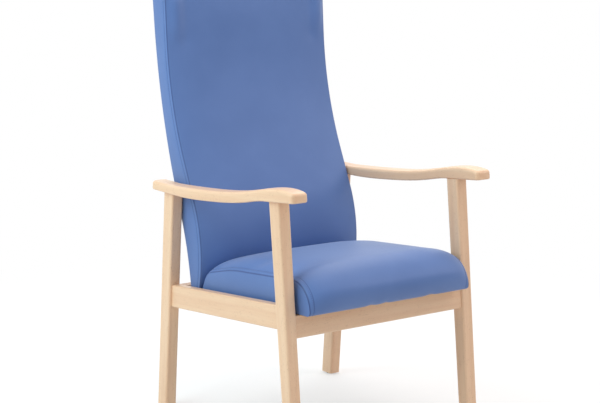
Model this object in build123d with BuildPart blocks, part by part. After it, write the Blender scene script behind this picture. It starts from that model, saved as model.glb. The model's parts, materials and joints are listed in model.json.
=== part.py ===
from build123d import *
from math import atan2, cos, degrees, hypot, radians, sin, tan
import os

# High-back chair with wooden arms. Millimetres, +Z up, the sitter faces -Y.
# The origin lies on the floor under the middle of the chair's box.

# Stance of the frame
LEG_SPREAD = 580.0  # over the outer faces of the legs
SEAT_TILT = 5.6  # degrees that the seat falls to the rear; the front legs stand square to it
REAR_RAKE = 5.0  # degrees that the rear legs lean, feet to the rear
SEAT_PLANE_HEIGHT = 374.0  # where the board's underside meets the front legs' front faces
FRONT_FACE_Y = -311.3  # that same point, front to rear

# Legs
LEG_WIDTH = 33.0
FRONT_LEG_FOOT_DEPTH = 36.0
FRONT_LEG_TOP_DEPTH = 43.0
REAR_LEG_DEPTH = 44.5
REAR_LEG_SETBACK = 87.0  # rear legs' front faces behind the cushion's rear foot
LEG_ROUNDING = 5.5
GLIDE_HEIGHT = 4.0

# Rails
SIDE_RAIL_HEIGHT = 60.0
SIDE_RAIL_STANDING = 25.5  # how far it stands above the board's underside
SIDE_RAIL_INSET = 8.4  # behind the legs' outer faces
FRONT_RAIL_HEIGHT = 55.0
FRONT_RAIL_THICKNESS = 24.0
FRONT_RAIL_INSET = 5.3  # behind the front legs' front faces
REAR_RAIL_HEIGHT = 50.0
REAR_RAIL_THICKNESS = 24.0
REAR_RAIL_INSET = 8.0  # behind the rear legs' front faces
REAR_RAIL_DROP = 34.5  # its lower edge below the board's underside
RAIL_ROUNDING = 4.0

# Armrests
ARM_RISE = 277.0  # underside above the seat plane, over the front leg
ARM_REAR_RISE = 223.5  # underside over the rear leg, above the seat plane at the front
ARM_WIDTH = 47.0
ARM_FRONT_OVERHANG = 80.0
ARM_REAR_OVERHANG = 45.0
ARM_FLAT = 46.0  # level underside behind the front leg's front face
ARM_REAR_FLAT = 36.0  # level underside before the rear leg's rear face at the top
ARM_DIP = 13.5  # how far the middle hangs below the front underside
ARM_DIP_BACKSET = 310.0  # the lowest place, behind the front leg's front face
ARM_FALL_SHARE = 0.27  # of the way from the flat to the lowest place, where the fall is steepest
ARM_FALL_DROP_SHARE = 0.45  # of the dip, how low the underside is there
ARM_TIP_THICKNESS = 22.0
ARM_TIP_FALL = 20.0  # degrees, the top's slope at the front end
ARM_CREST_THICKNESS = 32.0
ARM_CREST_FORWARD = 20.0  # the thickest place, before the front leg's front face
ARM_FALL_THICKNESS = 27.5
ARM_DIP_THICKNESS = 28.0
ARM_REAR_THICKNESS = 23.5
ARM_OUTER_CORNER = 12.0
ARM_INNER_CORNER = 12.0
ARM_REAR_CORNER = 16.0
ARM_TOP_ROUNDING = 9.0
ARM_UNDER_ROUNDING = 4.0

# Seat cushion, outline from the front hem over the nose and the top to the rear foot
SEAT_SIDE_GAP = 11.5  # between the cushion and the legs' inner faces
SEAT_DEPTH = 500.0
SEAT_OVERHANG = 42.0  # nose before the front legs' front faces
SEAT_HEM_TUCK = 60.0  # degrees that the hem is drawn in under the nose
SEAT_HEM_RADIUS = 15.0
SEAT_NOSE_RADIUS = 70.0
SEAT_NOSE_TURN = 28.0
SEAT_NOSE_FLAT = 1.0
SEAT_SHOULDER_RADIUS = 70.0
SEAT_SAG_RADIUS = 540.0
SEAT_SAG_TURN = 8.5
SEAT_SLOPE = 66.0
SEAT_REAR_RADIUS = 46.0
SEAT_REAR_TURN = 52.5
SEAT_CROWN = 32.0
SEAT_CROWN_POWER = 3  # the crown rises over the whole width
BOARD_THICKNESS = 12.0
BOARD_FRONT_INSET = 14.0
BOARD_REAR_INSET = 16.0
VENT_RADIUS = 12.0
VENT_PITCH = 110.0
VENT_ROWS = 3
DUST_COVER_THICKNESS = 0.6
DUST_COVER_MARGIN = 6.0

# Back cushion, outline from the foot over the lumbar bend and the head to the top
BACK_SIDE_GAP = 5.0  # between the cushion and the legs' inner faces
SEAT_BACK_GAP = 0.6
LUMBAR_BACKSET = 15.5  # end of the lumbar bend behind the foot
LUMBAR_HEIGHT = 244.0  # end of the lumbar bend above the foot
RECLINE = 25.0  # degrees from upright, above the lumbar bend
INCLINE_LENGTH = 112.0
SHOULDER_RADIUS = 880.0
HEAD_LEAN = 3.5
HEAD_LENGTH = 95.0
TOP_RADIUS = 42.0
TOP_FLAT = 27.0
BACK_FOOT_THICKNESS = 36.0
LUMBAR_THICKNESS = 82.0
REAR_LEAN = 22.0  # degrees from upright of the rear, behind the lumbar bend
BACK_CROWN = 12.0
BACK_CROWN_POWER = 6  # the crown rises near the side seams and is nearly flat between them
CROWN_STATIONS = (0.45, 0.75, 0.92)  # shares of the half width
SKIN = 1.5
SKIN_GAP = 0.3

# Frame inside the back
STILE_THICKNESS = 22.0
STILE_DEPTH = 26.0
STILE_TOP_PAD = 30.0
TONGUE_LENGTH = 28.0
BACK_RAIL_HEIGHT = 44.0
BACK_RAIL_RELIEF = 1.0
TOP_RAIL_DROP = 62.0  # its middle below the top, along the stile
LUMBAR_RAIL_CLEARANCE = 20.0  # between it and the washer of the upper bolt, along the stile
BOTTOM_RAIL_RISE = 36.0  # its middle above the foot, along the stile
WEB_WIDTH = 60.0
WEB_THICKNESS = 1.5
WEB_SEAT = 0.5
WEB_PITCH = 110.0  # about, from web to web along the stile

# Corner blocks and cleats
BLOCK_SIZE = 42.0
BLOCK_HEIGHT = 34.0
BLOCK_CORNER_CUT = 14.0
CLEAT_WIDTH = 28.0
CLEAT_HEIGHT = 24.0
CLEAT_CLEARANCE = 12.0  # between a cleat and the pieces before and behind it

# Fasteners
DOWEL_RADIUS = 5.0
DOWEL_LENGTH = 40.0
DOWEL_IN_LEG = 12.0
DOWEL_IN_ARM = 14.0
DOWEL_MARGIN = 15.0  # from the edge of a rail to a dowel
DOWEL_FIT = 0.1
DOWEL_END_GAP = 0.5
SMALL_DOWEL_RADIUS = 4.0
SMALL_DOWEL_SPACING = 22.0
SCREW_RADIUS = 2.0
SCREW_HEAD_RADIUS = 4.0
SCREW_HEAD_HEIGHT = 2.4
SCREW_BITE = 16.0  # length in the second piece
BOARD_SCREW_BITE = 8.0
SCREW_FIT = 0.1
CLEAT_SCREW_COUNT = 3
BOLT_RADIUS = 4.0
BOLT_HEAD_RADIUS = 6.5
BOLT_HEAD_HEIGHT = 5.0
BOLT_FIT = 0.2
UPPER_BOLT_DROP = 18.0  # below the end of the arm's dowel
LOWER_BOLT_CLEARANCE = 4.0  # between the lower spacer and the back's foot
WASHER_RADIUS = 10.0
WASHER_THICKNESS = 1.6
INSERT_RADIUS = 6.0
INSERT_LENGTH = 16.0
SPACER_RADIUS = 12.0
GLIDE_RADIUS = 12.0
GLIDE_ROUNDING = 1.5
NAIL_RADIUS = 1.4
NAIL_LENGTH = 16.0

TILT = radians(SEAT_TILT)
RAKE = radians(REAR_RAKE)
LEG_OUTER = LEG_SPREAD / 2
LEG_INNER = LEG_OUTER - LEG_WIDTH
LEG_MIDDLE = LEG_OUTER - LEG_WIDTH / 2
SEAT_WIDTH = 2 * (LEG_INNER - SEAT_SIDE_GAP)
BACK_WIDTH = 2 * (LEG_INNER - BACK_SIDE_GAP)
ARM_REAR_HEIGHT = SEAT_PLANE_HEIGHT + ARM_REAR_RISE
SIDE_RAIL_THICKNESS = LEG_WIDTH - SIDE_RAIL_INSET
SIDE_RAIL_MIDDLE = LEG_INNER + SIDE_RAIL_THICKNESS / 2
SIDE_RAIL_MID_HEIGHT = SIDE_RAIL_STANDING - SIDE_RAIL_HEIGHT / 2
SEAT_END = SEAT_DEPTH - SEAT_OVERHANG
REAR_LEG_FRONT = SEAT_END + REAR_LEG_SETBACK
SEAT_SKIN_X = SEAT_WIDTH / 2 - SKIN
BACK_SKIN_X = BACK_WIDTH / 2 - SKIN
STILE_OUTER = BACK_SKIN_X - SKIN_GAP
STILE_INNER = STILE_OUTER - STILE_THICKNESS
FROM_FACE = (Align.CENTER, Align.CENTER, Align.MIN)
SIDES = ((-1, "left"), (1, "right"))

# Side view along the seat: first the way to the rear, then the way up, square to the seat
SIDE_VIEW = Plane((0, FRONT_FACE_Y, SEAT_PLANE_HEIGHT), (0, cos(TILT), -sin(TILT)), (1, 0, 0))
# The seat plane itself, seen from above: first across, then to the rear
SEAT_PLAN = Plane((0, FRONT_FACE_Y, SEAT_PLANE_HEIGHT), (1, 0, 0), (0, sin(TILT), cos(TILT)))


def on_seat(along, above):
    """Place in the upright side view of a point given along and above the seat plane."""
    return (
        FRONT_FACE_Y + along * cos(TILT) + above * sin(TILT),
        SEAT_PLANE_HEIGHT - along * sin(TILT) + above * cos(TILT),
    )


def step(point, heading, length):
    """Go straight on from a point; headings are degrees from the rear towards up."""
    return (
        point[0] + length * cos(radians(heading)),
        point[1] + length * sin(radians(heading)),
    )


def save(piece, name):
    """Label a finished piece and write its file."""
    piece.part.label = name
    export_step(piece.part, f"parts/{name}.step")


os.makedirs("parts", exist_ok=True)

# Rear legs' frame: first the way to the rear, square to the leg, then up along the leg
REAR_ROOT = on_seat(REAR_LEG_FRONT, 0)
REAR_VIEW = Plane((0, *REAR_ROOT), (0, cos(RAKE), sin(RAKE)), (1, 0, 0))
REAR_PLAN = Plane((0, *REAR_ROOT), (1, 0, 0), (0, -sin(RAKE), cos(RAKE)))


def rear_leg_y(height, depth=0.0):
    """Place of a rear leg's front face, or of a plane behind it, at a height over the floor."""
    return REAR_ROOT[0] - (height - REAR_ROOT[1]) * tan(RAKE) + depth / cos(RAKE)


def front_leg_floor(along):
    """Where the front leg's foot is cut level, above the seat plane."""
    return (GLIDE_HEIGHT - SEAT_PLANE_HEIGHT + along * sin(TILT)) / cos(TILT)


def front_leg_rear(above):
    """The front leg's rear face, which runs from the foot's depth to the top's."""
    foot = front_leg_floor(FRONT_LEG_FOOT_DEPTH)
    share = (above - foot) / (ARM_RISE - foot)
    return FRONT_LEG_FOOT_DEPTH + share * (FRONT_LEG_TOP_DEPTH - FRONT_LEG_FOOT_DEPTH)


def rear_leg_front(above):
    """The rear leg's front face, along the seat plane."""
    return REAR_LEG_FRONT - above * tan(TILT + RAKE)


# Places of the dowels, screws and bolts
def side_rail_dowels(side, end):
    """Dowels between a side rail and its front or rear leg."""
    view = SIDE_VIEW.offset(side * SIDE_RAIL_MIDDLE)
    reach = DOWEL_LENGTH / 2 - DOWEL_IN_LEG
    levels = (
        SIDE_RAIL_STANDING - DOWEL_MARGIN,
        SIDE_RAIL_STANDING - SIDE_RAIL_HEIGHT + DOWEL_MARGIN,
    )
    places = []
    for level in levels:
        along = front_leg_rear(level) + reach if end == "front" else rear_leg_front(level) - reach
        places.append(Plane(view.from_local_coords((along, level, 0)), z_dir=view.x_dir))
    return places


def cross_rail_dowels(view, depth, levels):
    """Dowels at both ends of a rail that runs across the chair."""
    reach = LEG_INNER - (DOWEL_LENGTH / 2 - DOWEL_IN_LEG)
    return {
        side: [
            Plane(view.offset(side * reach).from_local_coords((depth, level, 0)), z_dir=(1, 0, 0))
            for level in levels
        ]
        for side, _ in SIDES
    }


FRONT_RAIL_DOWELS = cross_rail_dowels(
    SIDE_VIEW,
    FRONT_RAIL_INSET + FRONT_RAIL_THICKNESS / 2,
    (-DOWEL_MARGIN, DOWEL_MARGIN - FRONT_RAIL_HEIGHT),
)
REAR_RAIL_DOWELS = cross_rail_dowels(
    REAR_VIEW,
    REAR_RAIL_INSET + REAR_RAIL_THICKNESS / 2,
    (REAR_RAIL_HEIGHT - REAR_RAIL_DROP - DOWEL_MARGIN, DOWEL_MARGIN - REAR_RAIL_DROP),
)


def arm_dowel(side, end):
    """The dowel between an armrest and a leg."""
    drop = DOWEL_LENGTH / 2 - DOWEL_IN_ARM
    if end == "front":
        view = SIDE_VIEW.offset(side * LEG_MIDDLE)
        return Plane(
            view.from_local_coords((FRONT_LEG_TOP_DEPTH / 2, ARM_RISE - drop, 0)),
            z_dir=view.y_dir,
        )
    height = ARM_REAR_HEIGHT - drop * cos(RAKE)
    middle = rear_leg_y(height, REAR_LEG_DEPTH / 2)
    return Plane((side * LEG_MIDDLE, middle, height), z_dir=REAR_VIEW.y_dir)


def dowels(places, radius=DOWEL_RADIUS):
    """Add a dowel at each place."""
    with Locations(*places):
        Cylinder(radius, DOWEL_LENGTH)


def drill(places, radius=DOWEL_RADIUS):
    """Cut the dowel holes at these places."""
    with Locations(*places):
        Cylinder(radius + DOWEL_FIT, DOWEL_LENGTH + 2 * DOWEL_END_GAP, mode=Mode.SUBTRACT)


def screws(places, length, grown=0.0, mode=Mode.ADD):
    """Add countersunk screws, head at the place, or cut their holes."""
    with Locations(*places):
        Cone(
            SCREW_HEAD_RADIUS + grown,
            SCREW_RADIUS + grown,
            SCREW_HEAD_HEIGHT,
            align=FROM_FACE,
            mode=mode,
        )
        Cylinder(SCREW_RADIUS + grown, length + grown, align=FROM_FACE, mode=mode)


def screw_holes(places, length):
    """Cut the holes of countersunk screws."""
    screws(places, length, SCREW_FIT, Mode.SUBTRACT)


FRONT_BLOCK_START = FRONT_RAIL_INSET + FRONT_RAIL_THICKNESS
BLOCK_SCREW_LENGTH = BLOCK_SIZE + SCREW_BITE


def block_screws_to_side(side, end):
    """The screw from a corner block into the side rail."""
    if end == "front":
        view = SIDE_VIEW
        along = FRONT_BLOCK_START + (BLOCK_SIZE - BLOCK_CORNER_CUT) / 2
        level = SIDE_RAIL_MID_HEIGHT
    else:
        view = REAR_VIEW
        along = REAR_RAIL_INSET - (BLOCK_SIZE - BLOCK_CORNER_CUT) / 2
        level = (SIDE_RAIL_MID_HEIGHT - along * sin(TILT + RAKE)) / cos(TILT + RAKE)
    face = view.offset(side * (LEG_INNER - BLOCK_SIZE))
    return Plane(face.from_local_coords((along, level, 0)), z_dir=(side, 0, 0))


def block_screws_to_cross(side, end):
    """The screw from a corner block into the front or rear rail."""
    across = side * (LEG_INNER - (BLOCK_SIZE - BLOCK_CORNER_CUT) / 2)
    if end == "front":
        view = SIDE_VIEW.offset(across)
        place = (FRONT_BLOCK_START + BLOCK_SIZE, -FRONT_RAIL_HEIGHT / 2, 0)
        return Plane(view.from_local_coords(place), z_dir=-view.x_dir)
    view = REAR_VIEW.offset(across)
    place = (REAR_RAIL_INSET - BLOCK_SIZE, REAR_RAIL_HEIGHT / 2 - REAR_RAIL_DROP, 0)
    return Plane(view.from_local_coords(place), z_dir=view.x_dir)


CLEAT_START = FRONT_BLOCK_START + BLOCK_SIZE + CLEAT_CLEARANCE
CLEAT_END = SEAT_END - BOARD_REAR_INSET - CLEAT_CLEARANCE
CLEAT_PITCH = (CLEAT_END - CLEAT_START) / CLEAT_SCREW_COUNT
CLEAT_SCREW_LENGTH = CLEAT_WIDTH + SCREW_BITE
SEAT_SCREW_LENGTH = CLEAT_HEIGHT + BOARD_SCREW_BITE


def cleat_screws(side):
    """Screws from a cleat into its side rail."""
    face = SIDE_VIEW.offset(side * (LEG_INNER - CLEAT_WIDTH))
    return [
        Plane(
            face.from_local_coords((CLEAT_START + (i + 0.5) * CLEAT_PITCH, -CLEAT_HEIGHT / 2, 0)),
            z_dir=(side, 0, 0),
        )
        for i in range(CLEAT_SCREW_COUNT)
    ]


def seat_screws(side):
    """Screws up through a cleat into the seat board."""
    across = (LEG_INNER - CLEAT_WIDTH + SEAT_SKIN_X) / 2
    view = SIDE_VIEW.offset(side * across)
    return [
        Plane(
            view.from_local_coords((CLEAT_START + i * CLEAT_PITCH, -CLEAT_HEIGHT, 0)),
            z_dir=view.y_dir,
        )
        for i in range(1, CLEAT_SCREW_COUNT)
    ]


# Lines of the back, in the upright side view
BACK_FOOT = on_seat(SEAT_END + SEAT_BACK_GAP, 0)
LUMBAR_END = (BACK_FOOT[0] + LUMBAR_BACKSET, BACK_FOOT[1] + LUMBAR_HEIGHT)
INCLINE = 90 - RECLINE
HEAD = 90 - HEAD_LEAN
REAR_FOOT = (BACK_FOOT[0] + BACK_FOOT_THICKNESS, BACK_FOOT[1])
REAR_TURN = step(LUMBAR_END, INCLINE - 90, LUMBAR_THICKNESS)
REAR_INCLINE = 90 - REAR_LEAN


def turned(point, heading, radius, turn):
    """End of an arc from a point; a turn to the right counts down from the heading."""
    chord = 2 * radius * sin(radians(abs(turn)) / 2)
    return step(point, heading - turn / 2, chord)


def back_front(crown, inset):
    """Corners of the back's front line and top, moved out by the crown and in by the inset."""
    aside = inset - crown
    foot = (BACK_FOOT[0] + inset, BACK_FOOT[1])
    lumbar = step(LUMBAR_END, INCLINE - 90, aside)
    shoulder = step(lumbar, INCLINE, INCLINE_LENGTH)
    neck = turned(shoulder, INCLINE, SHOULDER_RADIUS + aside, INCLINE - HEAD)
    head = step(neck, HEAD, HEAD_LENGTH)
    top = turned(head, HEAD, TOP_RADIUS - inset, HEAD)
    return foot, lumbar, shoulder, neck, head, top


TOP_REAR = step(back_front(0, 0)[-1], 0, TOP_FLAT)


def draw_front(crown, inset, end_y):
    """Draw the back's front line from the foot, over the top, to the rear."""
    foot, lumbar, shoulder, neck, head, top = back_front(crown, inset)
    TangentArc(lumbar, foot, tangent=step((0, 0), INCLINE + 180, 1))
    Line(lumbar, shoulder)
    TangentArc(shoulder, neck, tangent=step((0, 0), INCLINE, 1))
    Line(neck, head)
    TangentArc(head, top, tangent=step((0, 0), HEAD, 1))
    Line(top, (end_y, top[1]))
    return foot, (end_y, top[1])


# Rear line: two arcs that leave its turning place, up to the top and down to the foot.
# Each has its heading there, its end and the way to the front, in degrees from that heading.
UPPER_BEND = (REAR_INCLINE, TOP_REAR, 90)
LOWER_BEND = (REAR_INCLINE + 180, REAR_FOOT, -90)


def bend_radius(bend):
    """Radius of a rear arc, positive where it turns to the left, and its turn in radians."""
    heading, end, _ = bend
    across, up = end[0] - REAR_TURN[0], end[1] - REAR_TURN[1]
    half_turn = (degrees(atan2(up, across)) - heading + 180) % 360 - 180
    return hypot(across, up) / (2 * sin(radians(half_turn))), 2 * radians(half_turn)


def bend_length(bend):
    """Length of a rear arc."""
    radius, turn = bend_radius(bend)
    return radius * turn


def on_bend(bend, length, aside):
    """Point a length along a rear arc and aside in front of it, with the heading there."""
    heading, _, front = bend
    radius, _ = bend_radius(bend)
    turn = degrees(length / radius)
    point = step(REAR_TURN, heading + turn / 2, 2 * radius * sin(radians(turn) / 2))
    return step(point, heading + turn + front, aside), heading + turn


UPPER_LENGTH = bend_length(UPPER_BEND)
LOWER_LENGTH = bend_length(LOWER_BEND)
STILE_TOP = UPPER_LENGTH - STILE_TOP_PAD
STILE_REAR = SKIN + SKIN_GAP
STILE_FRONT = STILE_REAR + STILE_DEPTH
STILE_CENTRE = STILE_REAR + STILE_DEPTH / 2
FOAM_REAR = STILE_FRONT + 2 * WEB_SEAT + WEB_THICKNESS + SKIN_GAP


def draw_rear(aside, top_length):
    """Draw a line in front of the rear line, from the foot up to a length; return its ends."""
    turn = step(REAR_TURN, REAR_INCLINE + 90, aside)
    foot, _ = on_bend(LOWER_BEND, LOWER_LENGTH, aside)
    top, _ = on_bend(UPPER_BEND, top_length, aside)
    TangentArc(turn, foot, tangent=step((0, 0), REAR_INCLINE + 180, 1))
    TangentArc(turn, top, tangent=step((0, 0), REAR_INCLINE, 1))
    return foot, top


def stile_rise(height):
    """Length along the stile, from the rear line's turning place to a height over the floor."""
    rise = height - step(REAR_TURN, REAR_INCLINE + 90, STILE_CENTRE)[1]
    return rise / sin(radians(REAR_INCLINE))


TONGUE_ROOT, TONGUE_HEADING = on_bend(LOWER_BEND, LOWER_LENGTH, STILE_CENTRE)
UPPER_BOLT_RISE = stile_rise(ARM_REAR_HEIGHT - (DOWEL_LENGTH - DOWEL_IN_ARM) - UPPER_BOLT_DROP)
UPPER_BOLT, _ = on_bend(UPPER_BEND, UPPER_BOLT_RISE, STILE_CENTRE)
LOWER_BOLT = step(TONGUE_ROOT, TONGUE_HEADING, SPACER_RADIUS + LOWER_BOLT_CLEARANCE)


def bolt_places(side, across):
    """The two bolts of one side of the back, a way from the chair's middle, facing out."""
    return [
        Plane((side * across, *place), x_dir=(0, 1, 0), z_dir=(side, 0, 0))
        for place in (UPPER_BOLT, LOWER_BOLT)
    ]


# Rails across the back: the point and heading of each on the stiles' middle line
LUMBAR_RAIL_RISE = UPPER_BOLT_RISE + WASHER_RADIUS + LUMBAR_RAIL_CLEARANCE + BACK_RAIL_HEIGHT / 2
BACK_RAILS = {
    "back_top_rail": on_bend(UPPER_BEND, UPPER_LENGTH - TOP_RAIL_DROP, STILE_CENTRE),
    "back_lumbar_rail": on_bend(UPPER_BEND, LUMBAR_RAIL_RISE, STILE_CENTRE),
    "back_bottom_rail": on_bend(LOWER_BEND, LOWER_LENGTH - BOTTOM_RAIL_RISE, STILE_CENTRE),
}


def back_rail_dowels(side):
    """Dowels between one stile and the rails of the back."""
    across = side * (STILE_INNER - DOWEL_LENGTH / 2 + DOWEL_IN_LEG)
    return [
        Plane((across, *step(place, heading, along)), z_dir=(1, 0, 0))
        for place, heading in BACK_RAILS.values()
        for along in (-SMALL_DOWEL_SPACING / 2, SMALL_DOWEL_SPACING / 2)
    ]


# Outline of the seat cushion, in the side view along the seat
SEAT_HEM = 90 + SEAT_HEM_TUCK
SEAT_NOSE = 90 - SEAT_NOSE_TURN
SEAT_REAR = -SEAT_SAG_TURN - SEAT_REAR_TURN
HEM_SETBACK = SEAT_HEM_RADIUS * (1 - cos(radians(SEAT_HEM_TUCK)))


def seat_corners(rise, inset, top_length):
    """Corners of the cushion's outline, from the hem over the top to the rear foot."""
    hem = step((HEM_SETBACK - SEAT_OVERHANG, 0), SEAT_HEM - 90, inset)
    front = turned(hem, SEAT_HEM, SEAT_HEM_RADIUS - inset, SEAT_HEM_TUCK)
    nose = turned(front, 90, SEAT_NOSE_RADIUS - inset, SEAT_NOSE_TURN)
    shoulder = step(nose, SEAT_NOSE, SEAT_NOSE_FLAT + rise / sin(radians(SEAT_NOSE)))
    crest = turned(shoulder, SEAT_NOSE, SEAT_SHOULDER_RADIUS - inset, SEAT_NOSE)
    sag = step(crest, 0, top_length)
    slope = turned(sag, 0, SEAT_SAG_RADIUS - inset, SEAT_SAG_TURN)
    heel = step(slope, -SEAT_SAG_TURN, SEAT_SLOPE)
    rear = turned(heel, -SEAT_SAG_TURN, SEAT_REAR_RADIUS - inset, SEAT_REAR_TURN)
    foot = step(rear, SEAT_REAR, rear[1] / sin(radians(-SEAT_REAR)))
    return hem, front, nose, shoulder, crest, sag, slope, heel, rear, foot


def draw_seat(rise, inset):
    """Draw the cushion's outline, crowned by the rise and drawn in by the inset; return its ends."""
    top_length = SEAT_END - seat_corners(rise, 0, 0)[-1][0]
    corners = seat_corners(rise, inset, top_length)
    hem, front, nose, shoulder, crest, sag, slope, heel, rear, foot = corners
    TangentArc(hem, front, tangent=step((0, 0), SEAT_HEM, 1))
    TangentArc(front, nose, tangent=(0, 1))
    Line(nose, shoulder)
    TangentArc(shoulder, crest, tangent=step((0, 0), SEAT_NOSE, 1))
    Line(crest, sag)
    TangentArc(sag, slope, tangent=(1, 0))
    Line(slope, heel)
    TangentArc(heel, rear, tangent=step((0, 0), -SEAT_SAG_TURN, 1))
    Line(rear, foot)
    return hem, foot


def crown_stations(half_width, power):
    """Places across a cushion, from side seam to side seam, with the share of the crown at each."""
    shares = [-1.0]
    shares += [-share for share in reversed(CROWN_STATIONS)]
    shares += [0.0, *CROWN_STATIONS, 1.0]
    return [(share * half_width, 1 - abs(share) ** power) for share in shares]


FRONT_FOOT_Y = on_seat(FRONT_LEG_FOOT_DEPTH / 2, front_leg_floor(FRONT_LEG_FOOT_DEPTH / 2))[0]
REAR_FOOT_Y = rear_leg_y(GLIDE_HEIGHT, REAR_LEG_DEPTH / 2)


def nail_hole(side, foot_y):
    """Cut the hole for a glide's nail up into a leg."""
    with Locations((side * LEG_MIDDLE, foot_y, GLIDE_HEIGHT)):
        Cylinder(NAIL_RADIUS + SCREW_FIT, NAIL_LENGTH, align=FROM_FACE, mode=Mode.SUBTRACT)


def insert_holes(side):
    """Cut the holes for the threaded inserts of the back's bolts."""
    with Locations(*bolt_places(side, LEG_INNER)):
        Cylinder(INSERT_RADIUS + BOLT_FIT, INSERT_LENGTH, align=FROM_FACE, mode=Mode.SUBTRACT)


def bolt_holes(side):
    """Cut the clearance holes of the back's bolts."""
    with Locations(*bolt_places(side, STILE_INNER)):
        Cylinder(BOLT_RADIUS + BOLT_FIT, LEG_WIDTH, align=FROM_FACE, mode=Mode.SUBTRACT)


# Front legs
for side, hand in SIDES:
    with BuildPart() as front_leg:
        with BuildSketch(SIDE_VIEW.offset(side * LEG_INNER)):
            with BuildLine():
                Polyline(
                    (0, front_leg_floor(0)),
                    (FRONT_LEG_FOOT_DEPTH, front_leg_floor(FRONT_LEG_FOOT_DEPTH)),
                    (FRONT_LEG_TOP_DEPTH, ARM_RISE),
                    (0, ARM_RISE),
                    close=True,
                )
            make_face()
        extrude(amount=side * LEG_WIDTH)
        fillet(front_leg.edges().filter_by(lambda edge: edge.length > ARM_RISE), LEG_ROUNDING)
        drill(side_rail_dowels(side, "front"))
        drill(FRONT_RAIL_DOWELS[side])
        drill([arm_dowel(side, "front")])
        nail_hole(side, FRONT_FOOT_Y)
    save(front_leg, f"front_leg_{hand}")

# Rear legs
for side, hand in SIDES:
    with BuildPart() as rear_leg:
        with BuildSketch(Plane.YZ.offset(side * LEG_INNER)):
            with BuildLine():
                Polyline(
                    (rear_leg_y(GLIDE_HEIGHT), GLIDE_HEIGHT),
                    (rear_leg_y(GLIDE_HEIGHT, REAR_LEG_DEPTH), GLIDE_HEIGHT),
                    (rear_leg_y(ARM_REAR_HEIGHT, REAR_LEG_DEPTH), ARM_REAR_HEIGHT),
                    (rear_leg_y(ARM_REAR_HEIGHT), ARM_REAR_HEIGHT),
                    close=True,
                )
            make_face()
        extrude(amount=side * LEG_WIDTH)
        fillet(rear_leg.edges().filter_by(lambda edge: edge.length > ARM_RISE), LEG_ROUNDING)
        drill(side_rail_dowels(side, "rear"))
        drill(REAR_RAIL_DOWELS[side])
        drill([arm_dowel(side, "rear")])
        insert_holes(side)
        nail_hole(side, REAR_FOOT_Y)
    save(rear_leg, f"rear_leg_{hand}")

# Side rails, cut at both ends to the legs' faces
for side, hand in SIDES:
    top = SIDE_RAIL_STANDING
    bottom = SIDE_RAIL_STANDING - SIDE_RAIL_HEIGHT
    with BuildPart() as side_rail:
        with BuildSketch(SIDE_VIEW.offset(side * LEG_INNER)):
            with BuildLine():
                Polyline(
                    (front_leg_rear(bottom), bottom),
                    (rear_leg_front(bottom), bottom),
                    (rear_leg_front(top), top),
                    (front_leg_rear(top), top),
                    close=True,
                )
            make_face()
        extrude(amount=side * SIDE_RAIL_THICKNESS)
        fillet(side_rail.edges().filter_by(Axis((0, 0, 0), SIDE_VIEW.x_dir)), RAIL_ROUNDING)
        drill(side_rail_dowels(side, "front"))
        drill(side_rail_dowels(side, "rear"))
        screw_holes([block_screws_to_side(side, "front")], BLOCK_SCREW_LENGTH)
        screw_holes([block_screws_to_side(side, "rear")], BLOCK_SCREW_LENGTH)
        screw_holes(cleat_screws(side), CLEAT_SCREW_LENGTH)
        insert_holes(side)
    save(side_rail, f"side_rail_{hand}")

# Front rail, square to the seat, with its lower edges rounded
with BuildPart() as front_rail:
    with BuildSketch(SIDE_VIEW):
        with Locations((FRONT_RAIL_INSET, -FRONT_RAIL_HEIGHT)):
            Rectangle(FRONT_RAIL_THICKNESS, FRONT_RAIL_HEIGHT, align=(Align.MIN, Align.MIN))
    extrude(amount=LEG_INNER, both=True)
    fillet(front_rail.edges().filter_by(Axis.X).sort_by(Axis.Z)[:2], RAIL_ROUNDING)
    for side, _ in SIDES:
        drill(FRONT_RAIL_DOWELS[side])
        screw_holes([block_screws_to_cross(side, "front")], BLOCK_SCREW_LENGTH)
save(front_rail, "front_rail")

# Rear rail, square to the rear legs
with BuildPart() as rear_rail:
    with BuildSketch(REAR_VIEW):
        with Locations((REAR_RAIL_INSET, -REAR_RAIL_DROP)):
            Rectangle(REAR_RAIL_THICKNESS, REAR_RAIL_HEIGHT, align=(Align.MIN, Align.MIN))
    extrude(amount=LEG_INNER, both=True)
    fillet(rear_rail.edges().filter_by(Axis.X), RAIL_ROUNDING)
    for side, _ in SIDES:
        drill(REAR_RAIL_DOWELS[side])
        screw_holes([block_screws_to_cross(side, "rear")], BLOCK_SCREW_LENGTH)
save(rear_rail, "rear_rail")

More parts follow.
